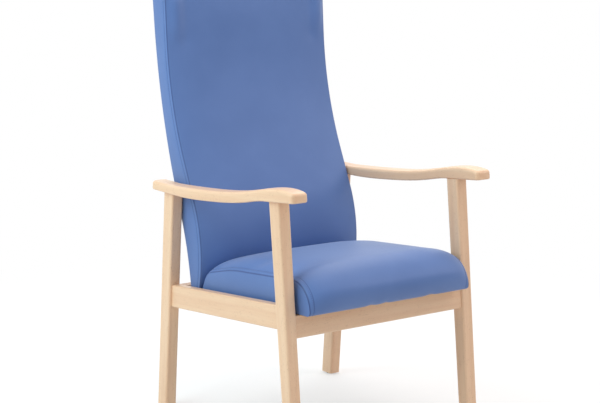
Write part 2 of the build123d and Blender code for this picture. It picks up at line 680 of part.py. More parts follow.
# Armrests: the side view's curve, rounded in plan at both ends, then along the edges
ARM_FALL_BACKSET = ARM_FLAT + ARM_FALL_SHARE * (ARM_DIP_BACKSET - ARM_FLAT)
ARM_FALL_RISE = ARM_RISE - ARM_FALL_DROP_SHARE * ARM_DIP
ARM_DIP_RISE = ARM_RISE - ARM_DIP
TIP_SLOPE = radians(ARM_TIP_FALL) - TILT
ARM_END_Y = rear_leg_y(ARM_REAR_HEIGHT, REAR_LEG_DEPTH) + ARM_REAR_OVERHANG
ARM_REAR_START = (ARM_END_Y - ARM_REAR_OVERHANG - REAR_LEG_DEPTH - ARM_REAR_FLAT, ARM_REAR_HEIGHT)
for side, hand in SIDES:
    with BuildPart() as armrest:
        with BuildSketch(Plane.YZ.offset(side * LEG_INNER)):
            with BuildLine():
                under_tip = on_seat(-ARM_FRONT_OVERHANG, ARM_RISE)
                under_flat = on_seat(ARM_FLAT, ARM_RISE)
                under_end = (ARM_END_Y, ARM_REAR_HEIGHT)
                top_tip = on_seat(-ARM_FRONT_OVERHANG, ARM_RISE + ARM_TIP_THICKNESS)
                top_end = (ARM_END_Y, ARM_REAR_HEIGHT + ARM_REAR_THICKNESS)
                Line(under_tip, under_flat)
                Spline(
                    under_flat,
                    on_seat(ARM_FALL_BACKSET, ARM_FALL_RISE),
                    on_seat(ARM_DIP_BACKSET, ARM_DIP_RISE),
                    ARM_REAR_START,
                    tangents=[(cos(TILT), -sin(TILT)), (1, 0)],
                )
                Line(ARM_REAR_START, under_end)
                Line(under_end, top_end)
                Spline(
                    top_tip,
                    on_seat(-ARM_CREST_FORWARD, ARM_RISE + ARM_CREST_THICKNESS),
                    on_seat(ARM_FALL_BACKSET, ARM_FALL_RISE + ARM_FALL_THICKNESS),
                    on_seat(ARM_DIP_BACKSET, ARM_DIP_RISE + ARM_DIP_THICKNESS),
                    (ARM_REAR_START[0] + ARM_REAR_FLAT, top_end[1]),
                    top_end,
                    tangents=[(cos(TIP_SLOPE), sin(TIP_SLOPE)), (1, 0)],
                )
                Line(top_tip, under_tip)
            make_face()
        extrude(amount=side * ARM_WIDTH)
        ends = armrest.edges().filter_by(GeomType.LINE).filter_by(Axis.X, reverse=True)
        ends = ends.filter_by(lambda edge: edge.length < ARM_WIDTH).sort_by(Axis.Y)
        inner_front, outer_front = ends[:2].sort_by(lambda edge: abs(edge.center().X))
        fillet(ends[2:], ARM_REAR_CORNER)
        fillet(outer_front, ARM_OUTER_CORNER)
        fillet(inner_front, ARM_INNER_CORNER)
        curves = armrest.edges().filter_by(lambda edge: edge.length > ARM_DIP_BACKSET)
        fillet(curves.sort_by(Axis.Z)[-2:], ARM_TOP_ROUNDING)
        curves = armrest.edges().filter_by(lambda edge: edge.length > ARM_DIP_BACKSET)
        fillet(curves.sort_by(Axis.Z)[:2], ARM_UNDER_ROUNDING)
        drill([arm_dowel(side, "front"), arm_dowel(side, "rear")])
    save(armrest, f"armrest_{hand}")

# Corner blocks, screwed to the two rails that they stand against
for side, hand in SIDES:
    for end, plan, wall, way in (
        ("front", SEAT_PLAN, FRONT_BLOCK_START, 1),
        ("rear", REAR_PLAN, REAR_RAIL_INSET, -1),
    ):
        with BuildPart() as corner_block:
            with BuildSketch(plan):
                with BuildLine():
                    Polyline(
                        (side * LEG_INNER, wall),
                        (side * LEG_INNER, wall + way * BLOCK_SIZE),
                        (side * (LEG_INNER - BLOCK_SIZE + BLOCK_CORNER_CUT), wall + way * BLOCK_SIZE),
                        (side * (LEG_INNER - BLOCK_SIZE), wall + way * (BLOCK_SIZE - BLOCK_CORNER_CUT)),
                        (side * (LEG_INNER - BLOCK_SIZE), wall),
                        close=True,
                    )
                make_face()
            extrude(amount=-BLOCK_HEIGHT)
            screw_holes([block_screws_to_side(side, end)], BLOCK_SCREW_LENGTH)
            screw_holes([block_screws_to_cross(side, end)], BLOCK_SCREW_LENGTH)
        save(corner_block, f"corner_block_{end}_{hand}")

# Cleats that carry the seat board along the side rails
for side, hand in SIDES:
    with BuildPart() as seat_cleat:
        with BuildSketch(SIDE_VIEW.offset(side * LEG_INNER)):
            with Locations((CLEAT_START, -CLEAT_HEIGHT)):
                Rectangle(CLEAT_END - CLEAT_START, CLEAT_HEIGHT, align=(Align.MIN, Align.MIN))
        extrude(amount=-side * CLEAT_WIDTH)
        screw_holes(cleat_screws(side), CLEAT_SCREW_LENGTH)
        screw_holes(seat_screws(side), SEAT_SCREW_LENGTH)
    save(seat_cleat, f"seat_cleat_{hand}")

# Dowels of the frame
with BuildPart() as rail_dowels:
    for side, _ in SIDES:
        dowels(side_rail_dowels(side, "front") + side_rail_dowels(side, "rear"))
        dowels(FRONT_RAIL_DOWELS[side] + REAR_RAIL_DOWELS[side])
save(rail_dowels, "rail_dowels")

with BuildPart() as arm_dowels:
    for side, _ in SIDES:
        dowels([arm_dowel(side, "front"), arm_dowel(side, "rear")])
save(arm_dowels, "arm_dowels")

# Screws of the frame and the seat
with BuildPart() as corner_block_screws:
    for side, _ in SIDES:
        for end in ("front", "rear"):
            screws([block_screws_to_side(side, end)], BLOCK_SCREW_LENGTH)
            screws([block_screws_to_cross(side, end)], BLOCK_SCREW_LENGTH)
save(corner_block_screws, "corner_block_screws")

with BuildPart() as seat_cleat_screws:
    for side, _ in SIDES:
        screws(cleat_screws(side), CLEAT_SCREW_LENGTH)
save(seat_cleat_screws, "seat_cleat_screws")

with BuildPart() as seat_board_screws:
    for side, _ in SIDES:
        screws(seat_screws(side), SEAT_SCREW_LENGTH)
save(seat_board_screws, "seat_board_screws")

# Glides, each a rounded foot on a nail
for side, hand in SIDES:
    for end, foot_y in (("front", FRONT_FOOT_Y), ("rear", REAR_FOOT_Y)):
        with BuildPart() as foot_glide:
            with Locations((side * LEG_MIDDLE, foot_y, 0)):
                Cylinder(GLIDE_RADIUS, GLIDE_HEIGHT, align=FROM_FACE)
                Cylinder(NAIL_RADIUS, GLIDE_HEIGHT + NAIL_LENGTH - DOWEL_END_GAP, align=FROM_FACE)
            fillet(foot_glide.edges().group_by(Axis.Z)[0], GLIDE_ROUNDING)
        save(foot_glide, f"foot_glide_{end}_{hand}")

# Seat board, with vent holes
BOARD_FRONT = HEM_SETBACK - SEAT_OVERHANG + BOARD_FRONT_INSET
BOARD_REAR = SEAT_END - BOARD_REAR_INSET
BOARD_HALF_WIDTH = SEAT_SKIN_X - SKIN_GAP
with BuildPart() as seat_board:
    with BuildSketch(SEAT_PLAN):
        with Locations((0, (BOARD_FRONT + BOARD_REAR) / 2)):
            Rectangle(2 * BOARD_HALF_WIDTH, BOARD_REAR - BOARD_FRONT)
            with GridLocations(VENT_PITCH, VENT_PITCH, VENT_ROWS, VENT_ROWS):
                Circle(VENT_RADIUS, mode=Mode.SUBTRACT)
    extrude(amount=BOARD_THICKNESS)
    for side, _ in SIDES:
        screw_holes(seat_screws(side), SEAT_SCREW_LENGTH)
save(seat_board, "seat_board")

# Dust cover on the board's underside, between the cleats and the corner blocks
DUST_COVER_FRONT = FRONT_BLOCK_START + DUST_COVER_MARGIN
DUST_COVER_HALF_WIDTH = LEG_INNER - BLOCK_SIZE - DUST_COVER_MARGIN
with BuildPart() as seat_dust_cover:
    with BuildSketch(SEAT_PLAN):
        with Locations((0, (DUST_COVER_FRONT + BOARD_REAR) / 2)):
            Rectangle(2 * DUST_COVER_HALF_WIDTH, BOARD_REAR - DUST_COVER_FRONT)
    extrude(amount=-DUST_COVER_THICKNESS)
save(seat_dust_cover, "seat_dust_cover")

# Seat foam, crowned between the side panels and let in over the board
with BuildPart() as seat_foam:
    for across, share in crown_stations(SEAT_SKIN_X - SKIN_GAP, SEAT_CROWN_POWER):
        with BuildSketch(SIDE_VIEW.offset(across)):
            with BuildLine():
                hem, foot = draw_seat(SEAT_CROWN * share, SKIN + SKIN_GAP)
                Line(foot, hem)
            make_face()
    loft()
    with BuildSketch(SEAT_PLAN):
        with Locations((0, (BOARD_FRONT + BOARD_REAR) / 2)):
            Rectangle(SEAT_WIDTH, BOARD_REAR - BOARD_FRONT)
    extrude(amount=BOARD_THICKNESS, mode=Mode.SUBTRACT)
save(seat_foam, "seat_foam")

# Seat cover, one panel over the nose, the top and the rear
with BuildPart() as seat_cover:
    for across, share in crown_stations(SEAT_SKIN_X, SEAT_CROWN_POWER):
        with BuildSketch(SIDE_VIEW.offset(across)):
            with BuildLine():
                hem, foot = draw_seat(SEAT_CROWN * share, 0)
                inner_hem, inner_foot = draw_seat(SEAT_CROWN * share, SKIN)
                Line(hem, inner_hem)
                Line(foot, inner_foot)
            make_face()
    loft()
save(seat_cover, "seat_cover")

# Side panels of the seat
for side, hand in SIDES:
    with BuildPart() as seat_side_panel:
        with BuildSketch(SIDE_VIEW.offset(side * SEAT_SKIN_X)):
            with BuildLine():
                hem, foot = draw_seat(0, 0)
                Line(foot, hem)
            make_face()
        extrude(amount=side * SKIN)
    save(seat_side_panel, f"seat_side_panel_{hand}")

# Stiles of the back, with tongues that reach down between the side rails
for side, hand in SIDES:
    with BuildPart() as back_stile:
        with BuildSketch(Plane.YZ.offset(side * STILE_INNER)):
            with BuildLine():
                rear_foot, rear_top = draw_rear(STILE_REAR, STILE_TOP)
                front_foot, front_top = draw_rear(STILE_FRONT, STILE_TOP)
                Line(rear_top, front_top)
                rear_tongue = step(rear_foot, TONGUE_HEADING, TONGUE_LENGTH)
                front_tongue = step(front_foot, TONGUE_HEADING, TONGUE_LENGTH)
                Line(rear_foot, rear_tongue)
                Line(rear_tongue, front_tongue)
                Line(front_tongue, front_foot)
            make_face()
        extrude(amount=side * STILE_THICKNESS)
        drill(back_rail_dowels(side), SMALL_DOWEL_RADIUS)
        bolt_holes(side)
    save(back_stile, f"back_stile_{hand}")

# Rails of the back
for name, (place, heading) in BACK_RAILS.items():
    with BuildPart() as back_rail:
        with BuildSketch(Plane.YZ):
            with Locations(Location((*place, 0), (0, 0, heading))):
                Rectangle(BACK_RAIL_HEIGHT, STILE_DEPTH - 2 * BACK_RAIL_RELIEF)
        extrude(amount=STILE_INNER, both=True)
        for side, _ in SIDES:
            drill(back_rail_dowels(side), SMALL_DOWEL_RADIUS)
    save(back_rail, name)

with BuildPart() as back_dowels:
    for side, _ in SIDES:
        dowels(back_rail_dowels(side), SMALL_DOWEL_RADIUS)
save(back_dowels, "back_dowels")

# Elastic webbing, stretched flat from stile to stile
with BuildPart() as back_webbing:
    for bend, length in ((UPPER_BEND, STILE_TOP), (LOWER_BEND, LOWER_LENGTH)):
        count = round(length / WEB_PITCH)
        for i in range(count):
            aside = STILE_FRONT + WEB_SEAT + WEB_THICKNESS / 2
            place, heading = on_bend(bend, length * (i + 0.5) / count, aside)
            with BuildSketch(Plane.YZ):
                with Locations(Location((*place, 0), (0, 0, heading))):
                    Rectangle(WEB_WIDTH, WEB_THICKNESS)
            extrude(amount=STILE_OUTER, both=True)
save(back_webbing, "back_webbing")

# Back foam, crowned, over the webbing and the tops of the stiles
with BuildPart() as back_foam:
    for across, share in crown_stations(BACK_SKIN_X - SKIN_GAP, BACK_CROWN_POWER):
        with BuildSketch(Plane.YZ.offset(across)):
            with BuildLine():
                cap, _ = on_bend(UPPER_BEND, STILE_TOP + SKIN_GAP, STILE_REAR)
                front_foot, top_end = draw_front(BACK_CROWN * share, SKIN + SKIN_GAP, cap[0])
                rear_foot, rear_top = draw_rear(FOAM_REAR, STILE_TOP + SKIN_GAP)
                Line(top_end, cap)
                Line(cap, rear_top)
                Line(rear_foot, front_foot)
            make_face()
    loft()
save(back_foam, "back_foam")

# Back cover, one panel up the front and over the top
with BuildPart() as back_cover:
    for across, share in crown_stations(BACK_SKIN_X, BACK_CROWN_POWER):
        with BuildSketch(Plane.YZ.offset(across)):
            with BuildLine():
                outer_foot, outer_end = draw_front(BACK_CROWN * share, 0, TOP_REAR[0])
                inner_foot, inner_end = draw_front(BACK_CROWN * share, SKIN, TOP_REAR[0])
                Line(outer_foot, inner_foot)
                Line(outer_end, inner_end)
            make_face()
    loft()
save(back_cover, "back_cover")

# Rear cover, from the foot up to the underside of the cover's top
with BuildPart() as back_rear_cover:
    with BuildSketch(Plane.YZ):
        with BuildLine():
            outer_foot, outer_top = draw_rear(0, UPPER_LENGTH - STILE_REAR)
            inner_foot, inner_top = draw_rear(SKIN, UPPER_LENGTH - STILE_REAR)
            Line(outer_foot, inner_foot)
            Line(outer_top, inner_top)
        make_face()
    extrude(amount=BACK_SKIN_X, both=True)
save(back_rear_cover, "back_rear_cover")

# Side panels of the back
for side, hand in SIDES:
    with BuildPart() as back_side_panel:
        with BuildSketch(Plane.YZ.offset(side * BACK_SKIN_X)):
            with BuildLine():
                front_foot, _ = draw_front(0, 0, TOP_REAR[0])
                rear_foot, _ = draw_rear(0, UPPER_LENGTH)
                Line(front_foot, rear_foot)
            make_face()
        extrude(amount=side * SKIN)
        bolt_holes(side)
    save(back_side_panel, f"back_side_panel_{hand}")

# Bolts, washers, inserts and spacers that hold the back to the rear legs and side rails
BOLT_LENGTH = LEG_INNER + INSERT_LENGTH - STILE_INNER + WASHER_THICKNESS
with BuildPart() as back_bolts:
    for side, _ in SIDES:
        with Locations(*bolt_places(side, STILE_INNER - WASHER_THICKNESS)):
            Cylinder(BOLT_RADIUS, BOLT_LENGTH, align=FROM_FACE)
        with Locations(*bolt_places(side, STILE_INNER - WASHER_THICKNESS - BOLT_HEAD_HEIGHT)):
            Cylinder(BOLT_HEAD_RADIUS, BOLT_HEAD_HEIGHT, align=FROM_FACE)
save(back_bolts, "back_bolts")

with BuildPart() as back_washers:
    for side, _ in SIDES:
        with Locations(*bolt_places(side, STILE_INNER - WASHER_THICKNESS)):
            Cylinder(WASHER_RADIUS, WASHER_THICKNESS, align=FROM_FACE)
            Cylinder(BOLT_RADIUS + BOLT_FIT, WASHER_THICKNESS, align=FROM_FACE, mode=Mode.SUBTRACT)
save(back_washers, "back_washers")

with BuildPart() as back_inserts:
    for side, _ in SIDES:
        with Locations(*bolt_places(side, LEG_INNER)):
            Cylinder(INSERT_RADIUS, INSERT_LENGTH, align=FROM_FACE)
            Cylinder(BOLT_RADIUS + BOLT_FIT, INSERT_LENGTH, align=FROM_FACE, mode=Mode.SUBTRACT)
save(back_inserts, "back_inserts")

with BuildPart() as back_spacers:
    for side, _ in SIDES:
        upper, _ = bolt_places(side, BACK_WIDTH / 2)
        _, lower = bolt_places(side, STILE_OUTER)
        for place, face in ((upper, BACK_WIDTH / 2), (lower, STILE_OUTER)):
            with Locations(place):
                Cylinder(SPACER_RADIUS, LEG_INNER - face, align=FROM_FACE)
                Cylinder(BOLT_RADIUS + BOLT_FIT, LEG_INNER - face, align=FROM_FACE, mode=Mode.SUBTRACT)
save(back_spacers, "back_spacers")
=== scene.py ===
import json
import math

import bmesh
import bpy
import numpy as np
from mathutils import Matrix, Vector
from mathutils.bvhtree import BVHTree


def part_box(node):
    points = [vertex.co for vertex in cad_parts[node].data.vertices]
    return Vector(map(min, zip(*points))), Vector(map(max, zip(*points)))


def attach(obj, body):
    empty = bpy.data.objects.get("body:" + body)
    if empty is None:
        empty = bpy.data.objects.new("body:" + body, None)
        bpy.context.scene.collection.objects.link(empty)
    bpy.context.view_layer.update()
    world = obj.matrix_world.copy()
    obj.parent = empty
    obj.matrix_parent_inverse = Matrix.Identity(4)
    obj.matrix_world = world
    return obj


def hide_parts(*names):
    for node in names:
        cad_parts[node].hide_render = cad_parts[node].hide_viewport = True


# High-back chair with a beech frame and vinyl cushions. Metres, +Z up, the sitter faces -Y.

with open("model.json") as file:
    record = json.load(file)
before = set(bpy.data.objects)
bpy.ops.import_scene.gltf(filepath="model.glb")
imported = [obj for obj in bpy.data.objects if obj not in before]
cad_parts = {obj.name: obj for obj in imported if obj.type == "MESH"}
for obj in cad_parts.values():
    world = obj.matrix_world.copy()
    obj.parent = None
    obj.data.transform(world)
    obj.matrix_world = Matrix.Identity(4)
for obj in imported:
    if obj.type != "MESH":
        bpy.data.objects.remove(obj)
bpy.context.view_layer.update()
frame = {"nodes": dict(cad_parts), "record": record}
nodes = frame["nodes"]
scene = bpy.context.scene
MM = 0.001

# Camera at the photograph's view
CAMERA_PLACE = (-2.3636, -3.3538, 1.3447)
CAMERA_TURN = -34.83  # degrees round the chair from its front, towards its left side
CAMERA_FALL = 10.51  # degrees that the camera looks down
CAMERA_LENS = 96.4
CAMERA_SENSOR = 36.0
CAMERA_SHIFT_Y = -0.0045

# Cushions
PANEL_PITCH = 8 * MM  # size of a mesh cell on a vinyl panel
STITCH_INSET = 10.6 * MM
SEAM_RINGS = (0, 1.6 * MM, 3.6 * MM, 6.2 * MM, 8.6 * MM, STITCH_INSET, 12.6 * MM)  # mesh lines beside a seam
SIDE_ROWS = (0, 0.02, 0.05, 0.1, 0.17, 0.26, 0.37, 0.5, 0.63, 0.76, 0.88, 0.96, 1)  # down a side panel
SIDE_NARROW = 40 * MM  # where a side panel is narrower, its mesh lines and stitches draw together
MERGE = 0.02 * MM
SEAM_DEPTH = 1.8 * MM
SEAM_SHADE = 2.1 * MM  # how far the painted shade of the seam's groove reaches
STITCH_GROOVE = 0.9 * MM
STITCH_SHADE = 0.75  # how dark the painted shade of the stitched groove is, beside the seam
SEAT_FIRST_CROWN = 28 * MM  # before the cover is blown up
SEAT_CROWN_POWER = 7.0
SEAT_CROWN_RUN = 50 * MM  # over which the crown dies out towards the hems
SEAT_SWELL = 6 * MM
SEAT_SIDE_SWELL = 4 * MM
SEAT_UNDER_LIFT = 4 * MM
BACK_FIRST_CROWN = 12.5 * MM
BACK_CROWN_POWER = 6.0
BACK_CROWN_FOOT = 130 * MM  # over which the crown rises from the foot
BACK_CROWN_TOP = (0.6, 1.0)  # upward turn of the cover where the crown dies out over the top
BACK_SWELL = 4 * MM
BACK_SIDE_SWELL = 2.5 * MM
BACK_REAR_SWELL = 5 * MM
FOAM_ROUNDS = 14  # the foam evens out small ripples of the cover
EAR_HEIGHT = 8.5 * MM  # padded edges of the head part
EAR_ACROSS = (0.78, 0.885, 0.895, 1.0)  # shares of the half width: rises, full, falls, ends
EAR_START = 0.955  # height where they begin
EAR_FULL = 1.05
EAR_FADE = (1.075, 1.118)  # heights between which they run out towards the top
EAR_DENT_PLACE = (0.79, 0.985)  # dents under the ears: share of the half width, and height
EAR_DENT_REACH = 20 * MM
EAR_DENT_DEPTH = 2.2 * MM
DIMPLE_PLACE = (-0.205, -0.085)  # a dent in the seat beside the left seam
DIMPLE_REACH = 24 * MM
DIMPLE_DEPTH = 2.5 * MM
HEM_PUCKERS = ((-0.063, 9 * MM), (-0.017, 7 * MM), (0.124, 11 * MM))  # places across and widths
HEM_PUCKER_LIFT = 3.0 * MM
HEM_PUCKER_REACH = 16 * MM
HEM_FOLD_SHADE = 6 * MM  # how far up from the hem the painted shade of the puckers' folds goes
CLOTH_FRAMES = 20
CLOTH_PRESSURE = 4.0

# Numbers of the cushions' panels
SEAT_COVER, SEAT_LEFT, SEAT_RIGHT, SEAT_UNDER = range(4)
BACK_FRONT, BACK_REAR, BACK_LEFT, BACK_RIGHT, BACK_FOOT = range(5)

# Stitching
STITCH_PITCH = 4.6 * MM
STITCH_LENGTH = 3.4 * MM
THREAD_RADIUS = 0.38 * MM
STITCH_SIDES = 6
STITCH_FORM = ((-1, 0.5, -0.9), (-0.8, 0.9, 0.0), (-0.4, 1.0, 0.35), (0.4, 1.0, 0.35), (0.8, 0.9, 0.0),
               (1, 0.5, -0.9))  # place along, thickness, height

# Lining under the seat
LINING_SAG = 2.0 * MM
LINING_RIPPLE = 0.8 * MM
LINING_RIPPLES = 14
LINING_RIPPLE_FADE = 8  # how fast the ripples die out away from the front and rear edges
LINING_EDGE = 5 * MM  # strip in which the height of an edge is read
LINING_THICKNESS = 0.5 * MM

PLANK_STEPS = (0.37, 0.211, 0.133)  # from one piece of wood to the next in the plank


def link(piece):
    """Put a new object into the scene."""
    scene.collection.objects.link(piece)
    return piece


def part_of_chair(piece, slot, *stands_for):
    """Fix a piece to the chair and hide the nodes that it stands for; the slot is not used."""
    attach(piece, "root")
    if stands_for:
        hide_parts(*stands_for)
    return piece


def make_camera():
    """Camera that sees the chair as the photograph does."""
    camera = link(bpy.data.objects.new("camera", bpy.data.cameras.new("camera")))
    camera.data.lens = CAMERA_LENS
    camera.data.sensor_width = CAMERA_SENSOR
    camera.data.shift_y = CAMERA_SHIFT_Y
    turn, fall = math.radians(CAMERA_TURN), math.radians(CAMERA_FALL)
    back = Vector((math.sin(turn) * math.cos(fall), -math.cos(turn) * math.cos(fall), math.sin(fall)))
    camera.location = CAMERA_PLACE
    camera.rotation_mode = "QUATERNION"
    camera.rotation_quaternion = (-back).to_track_quat("-Z", "Y")
    scene.camera = camera


# Lines of the cushions, read from the side panels


def panel_loop(node):
    """Corners (y, z) round the outer face of a flat side panel, in order."""
    mesh = nodes[node].data
    face_x = max((v.co.x for v in mesh.vertices), key=abs)
    mesh.calc_loop_triangles()
    sides = {}
    for triangle in mesh.loop_triangles:
        corners = [mesh.vertices[i].co for i in triangle.vertices]
        if all(abs(c.x - face_x) < MERGE for c in corners):
            keys = [(round(c.y / MERGE), round(c.z / MERGE)) for c in corners]
            for a, b in zip(keys, keys[1:] + keys[:1]):
                sides[frozenset((a, b))] = sides.get(frozenset((a, b)), 0) + 1
    links = {}
    for side, uses in sides.items():
        if uses == 1:
            a, b = side
            links.setdefault(a, []).append(b)
            links.setdefault(b, []).append(a)
    loops = []
    while links:
        loop = [next(iter(links))]
        while loop[-1] in links:
            ahead = [k for k in links.pop(loop[-1]) if k in links]
            if not ahead:
                break
            loop.append(ahead[0])
        loops.append(np.array(loop) * MERGE)
    return max(loops, key=lambda loop: np.ptp(loop[:, 1]))


def path_between(loop, start, end, score):
    """The stretch of a loop between two corners: of the two ways round, the one that scores higher."""
    count = len(loop)
    forward = [(start + i) % count for i in range((end - start) % count + 1)]
    backward = [(start - i) % count for i in range((start - end) % count + 1)]
    return loop[max((forward, backward), key=lambda way: score(loop[way]))]


def evenly(path, count):
    """A path's points, spaced evenly along it."""
    lengths = np.concatenate(([0], np.cumsum(np.linalg.norm(np.diff(path, axis=0), axis=1))))
    places = np.linspace(0, lengths[-1], count)
    return np.stack([np.interp(places, lengths, path[:, k]) for k in range(path.shape[1])], axis=1)


def path_length(path):
    """Length along a path."""
    return np.linalg.norm(np.diff(path, axis=0), axis=1).sum()


def across_stations(half_width):
    """Places across a panel from seam to seam, closer together beside the seams."""
    inner = half_width - SEAM_RINGS[-1]
    count = round(2 * inner / PANEL_PITCH)
    rings = [half_width - ring for ring in SEAM_RINGS[:-1]]
    return np.array([-r for r in rings] + list(np.linspace(-inner, inner, count + 1)) + rings[::-1])


def outward_of(line):
    """Outward directions (y, z) along a cushion's line that runs up its front."""
    ways = np.gradient(line, axis=0)
    return np.stack((-ways[:, 1], ways[:, 0]), axis=1) / np.linalg.norm(ways, axis=1)[:, None]


def panel_grid(across, side_view):
    """A panel's points by row and column, from their places across (x) and in the side view (y, z)."""
    shape = np.broadcast_shapes(np.shape(across), side_view.shape[:2])
    grid = np.empty(shape + (3,))
    grid[:, :, 0] = across
    grid[:, :, 1:] = side_view
    return grid


class PanelMesh:
    """A closed cushion sewn from panels, each a grid of points."""

    def __init__(self):
        self.mesh = bmesh.new()
        self.panel = self.mesh.verts.layers.int.new("panel")
        self.seam = self.mesh.verts.layers.float.new("seam_distance")

    def add(self, grid, seam_distance, number=0):
        """Add the panel of that number; the grid holds points by row and column."""
        rows, columns = grid.shape[:2]
        corners = []
        for i in range(rows):
            line = []
            for j in range(columns):
                corner = self.mesh.verts.new(grid[i, j])
                corner[self.panel] = number
                corner[self.seam] = seam_distance[i, j]
                line.append(corner)
            corners.append(line)
        for i in range(rows - 1):
            for j in range(columns - 1):
                self.mesh.faces.new(
                    (corners[i][j], corners[i][j + 1], corners[i + 1][j + 1], corners[i + 1][j])
                )

    def sew(self, name):
        """Join the panels where they meet and make the object."""
        bmesh.ops.remove_doubles(self.mesh, verts=self.mesh.verts, dist=MERGE)
        bmesh.ops.dissolve_degenerate(self.mesh, edges=self.mesh.edges, dist=MERGE)
        bmesh.ops.recalc_face_normals(self.mesh, faces=self.mesh.faces)
        for face in self.mesh.faces:
            face.smooth = True
        mesh = bpy.data.meshes.new(name)
        self.mesh.to_mesh(mesh)
        self.mesh.free()
        return link(bpy.data.objects.new(name, mesh))


def read_points(mesh):
    """A mesh's points as an array."""
    points = np.empty(len(mesh.vertices) * 3)
    mesh.vertices.foreach_get("co", points)
    return points.reshape(-1, 3)


def write_points(mesh, points):
    """Move a mesh's points."""
    mesh.vertices.foreach_set("co", points.ravel())
    mesh.update()


def read_layer(mesh, name):
    """A layer of values on a mesh's points."""
    layer = mesh.attributes[name]
    values = np.empty(len(mesh.vertices), np.int32 if layer.data_type == "INT" else np.float32)
    layer.data.foreach_get("value", values)
    return values


def point_normals(mesh):
    """Normals at a mesh's points."""
    normals = np.empty(len(mesh.vertices) * 3)
    mesh.vertices.foreach_get("normal", normals)
    return normals.reshape(-1, 3)


def blown_by_cloth(piece, held):
    """How far each point moves when the cover is blown up as cloth, with the held points fixed."""
    rest = read_points(piece.data)
    group = piece.vertex_groups.new(name="held")
    group.add([int(i) for i in np.flatnonzero(held)], 1.0, "REPLACE")
    cloth = piece.modifiers.new("cover", "CLOTH")
    settings = cloth.settings
    settings.quality = 6
    settings.mass = 0.4
    settings.tension_stiffness = 25
    settings.compression_stiffness = 25
    settings.shear_stiffness = 12
    settings.bending_stiffness = 2
    settings.use_pressure = True
    settings.uniform_pressure_force = CLOTH_PRESSURE
    settings.vertex_group_mass = "held"
    settings.effector_weights.gravity = 0
    cloth.collision_settings.use_collision = False
    cloth.point_cache.frame_start = 1
    cloth.point_cache.frame_end = CLOTH_FRAMES
    for number in range(1, CLOTH_FRAMES + 1):
        scene.frame_set(number)
    blown = piece.evaluated_get(bpy.context.evaluated_depsgraph_get())
    moved = read_points(blown.data) - rest
    piece.modifiers.remove(cloth)
    piece.vertex_groups.remove(group)
    scene.frame_set(1)
    return moved


def evened(mesh, moved, held):
    """Moves of a cover's points, evened out by the foam under it."""
    ends = np.empty(len(mesh.edges) * 2, np.int32)
    mesh.edges.foreach_get("vertices", ends)
    first, second = ends.reshape(-1, 2).T
    neighbours = np.bincount(ends, minlength=len(moved))[:, None]
    for _ in range(FOAM_ROUNDS):
        total = np.zeros_like(moved)
        np.add.at(total, first, moved[second])
        np.add.at(total, second, moved[first])
        moved = total / neighbours
        moved[held] = 0
    return moved


def eased(values, start, end):
    """Values that ease from 0 at the start to 1 at the end."""
    share = np.clip((values - start) / (end - start), 0, 1)
    return share * share * (3 - 2 * share)


def swell(piece, held, most):
    """Blow a cushion up; most gives for each panel how far its points move at the most."""
    seam_distance = read_layer(piece.data, "seam_distance")
    panel = read_layer(piece.data, "panel")
    moved = evened(piece.data, blown_by_cloth(piece, held), held)
    for number, limit in enumerate(most):
        chosen = panel == number
        peak = np.linalg.norm(moved[chosen], axis=1).max()
        moved[chosen] *= limit / max(peak, MERGE)
    write_points(piece.data, read_points(piece.data) + moved)


def push_out(piece, amount):
    """Move a cover's points out along their normals; a minus amount moves them in."""
    write_points(piece.data, read_points(piece.data) + point_normals(piece.data) * amount[:, None])


def sink_seams(piece, is_seam, is_stitched):
    """Draw the seams and the stitched lines in under the panels beside them."""
    push_out(piece, -(SEAM_DEPTH * is_seam + STITCH_GROOVE * is_stitched))


def smooth_cover(piece):
    """Round a cover off between its mesh lines."""
    rounding = piece.modifiers.new("rounding", "SUBSURF")
    rounding.levels = 1
    rounding.render_levels = 1


# Seat cushion


def seat_lines():
    """The seat's seam line (y, z) from the front hem over the top to the rear foot."""
    loop = panel_loop("seat_side_panel_left")
    lengths = np.linalg.norm(loop - np.roll(loop, -1, axis=0), axis=1)
    longest = int(np.argmax(lengths))
    ends = sorted((longest, (longest + 1) % len(loop)), key=lambda i: loop[i][0])
    return path_between(loop, ends[0], ends[1], len)


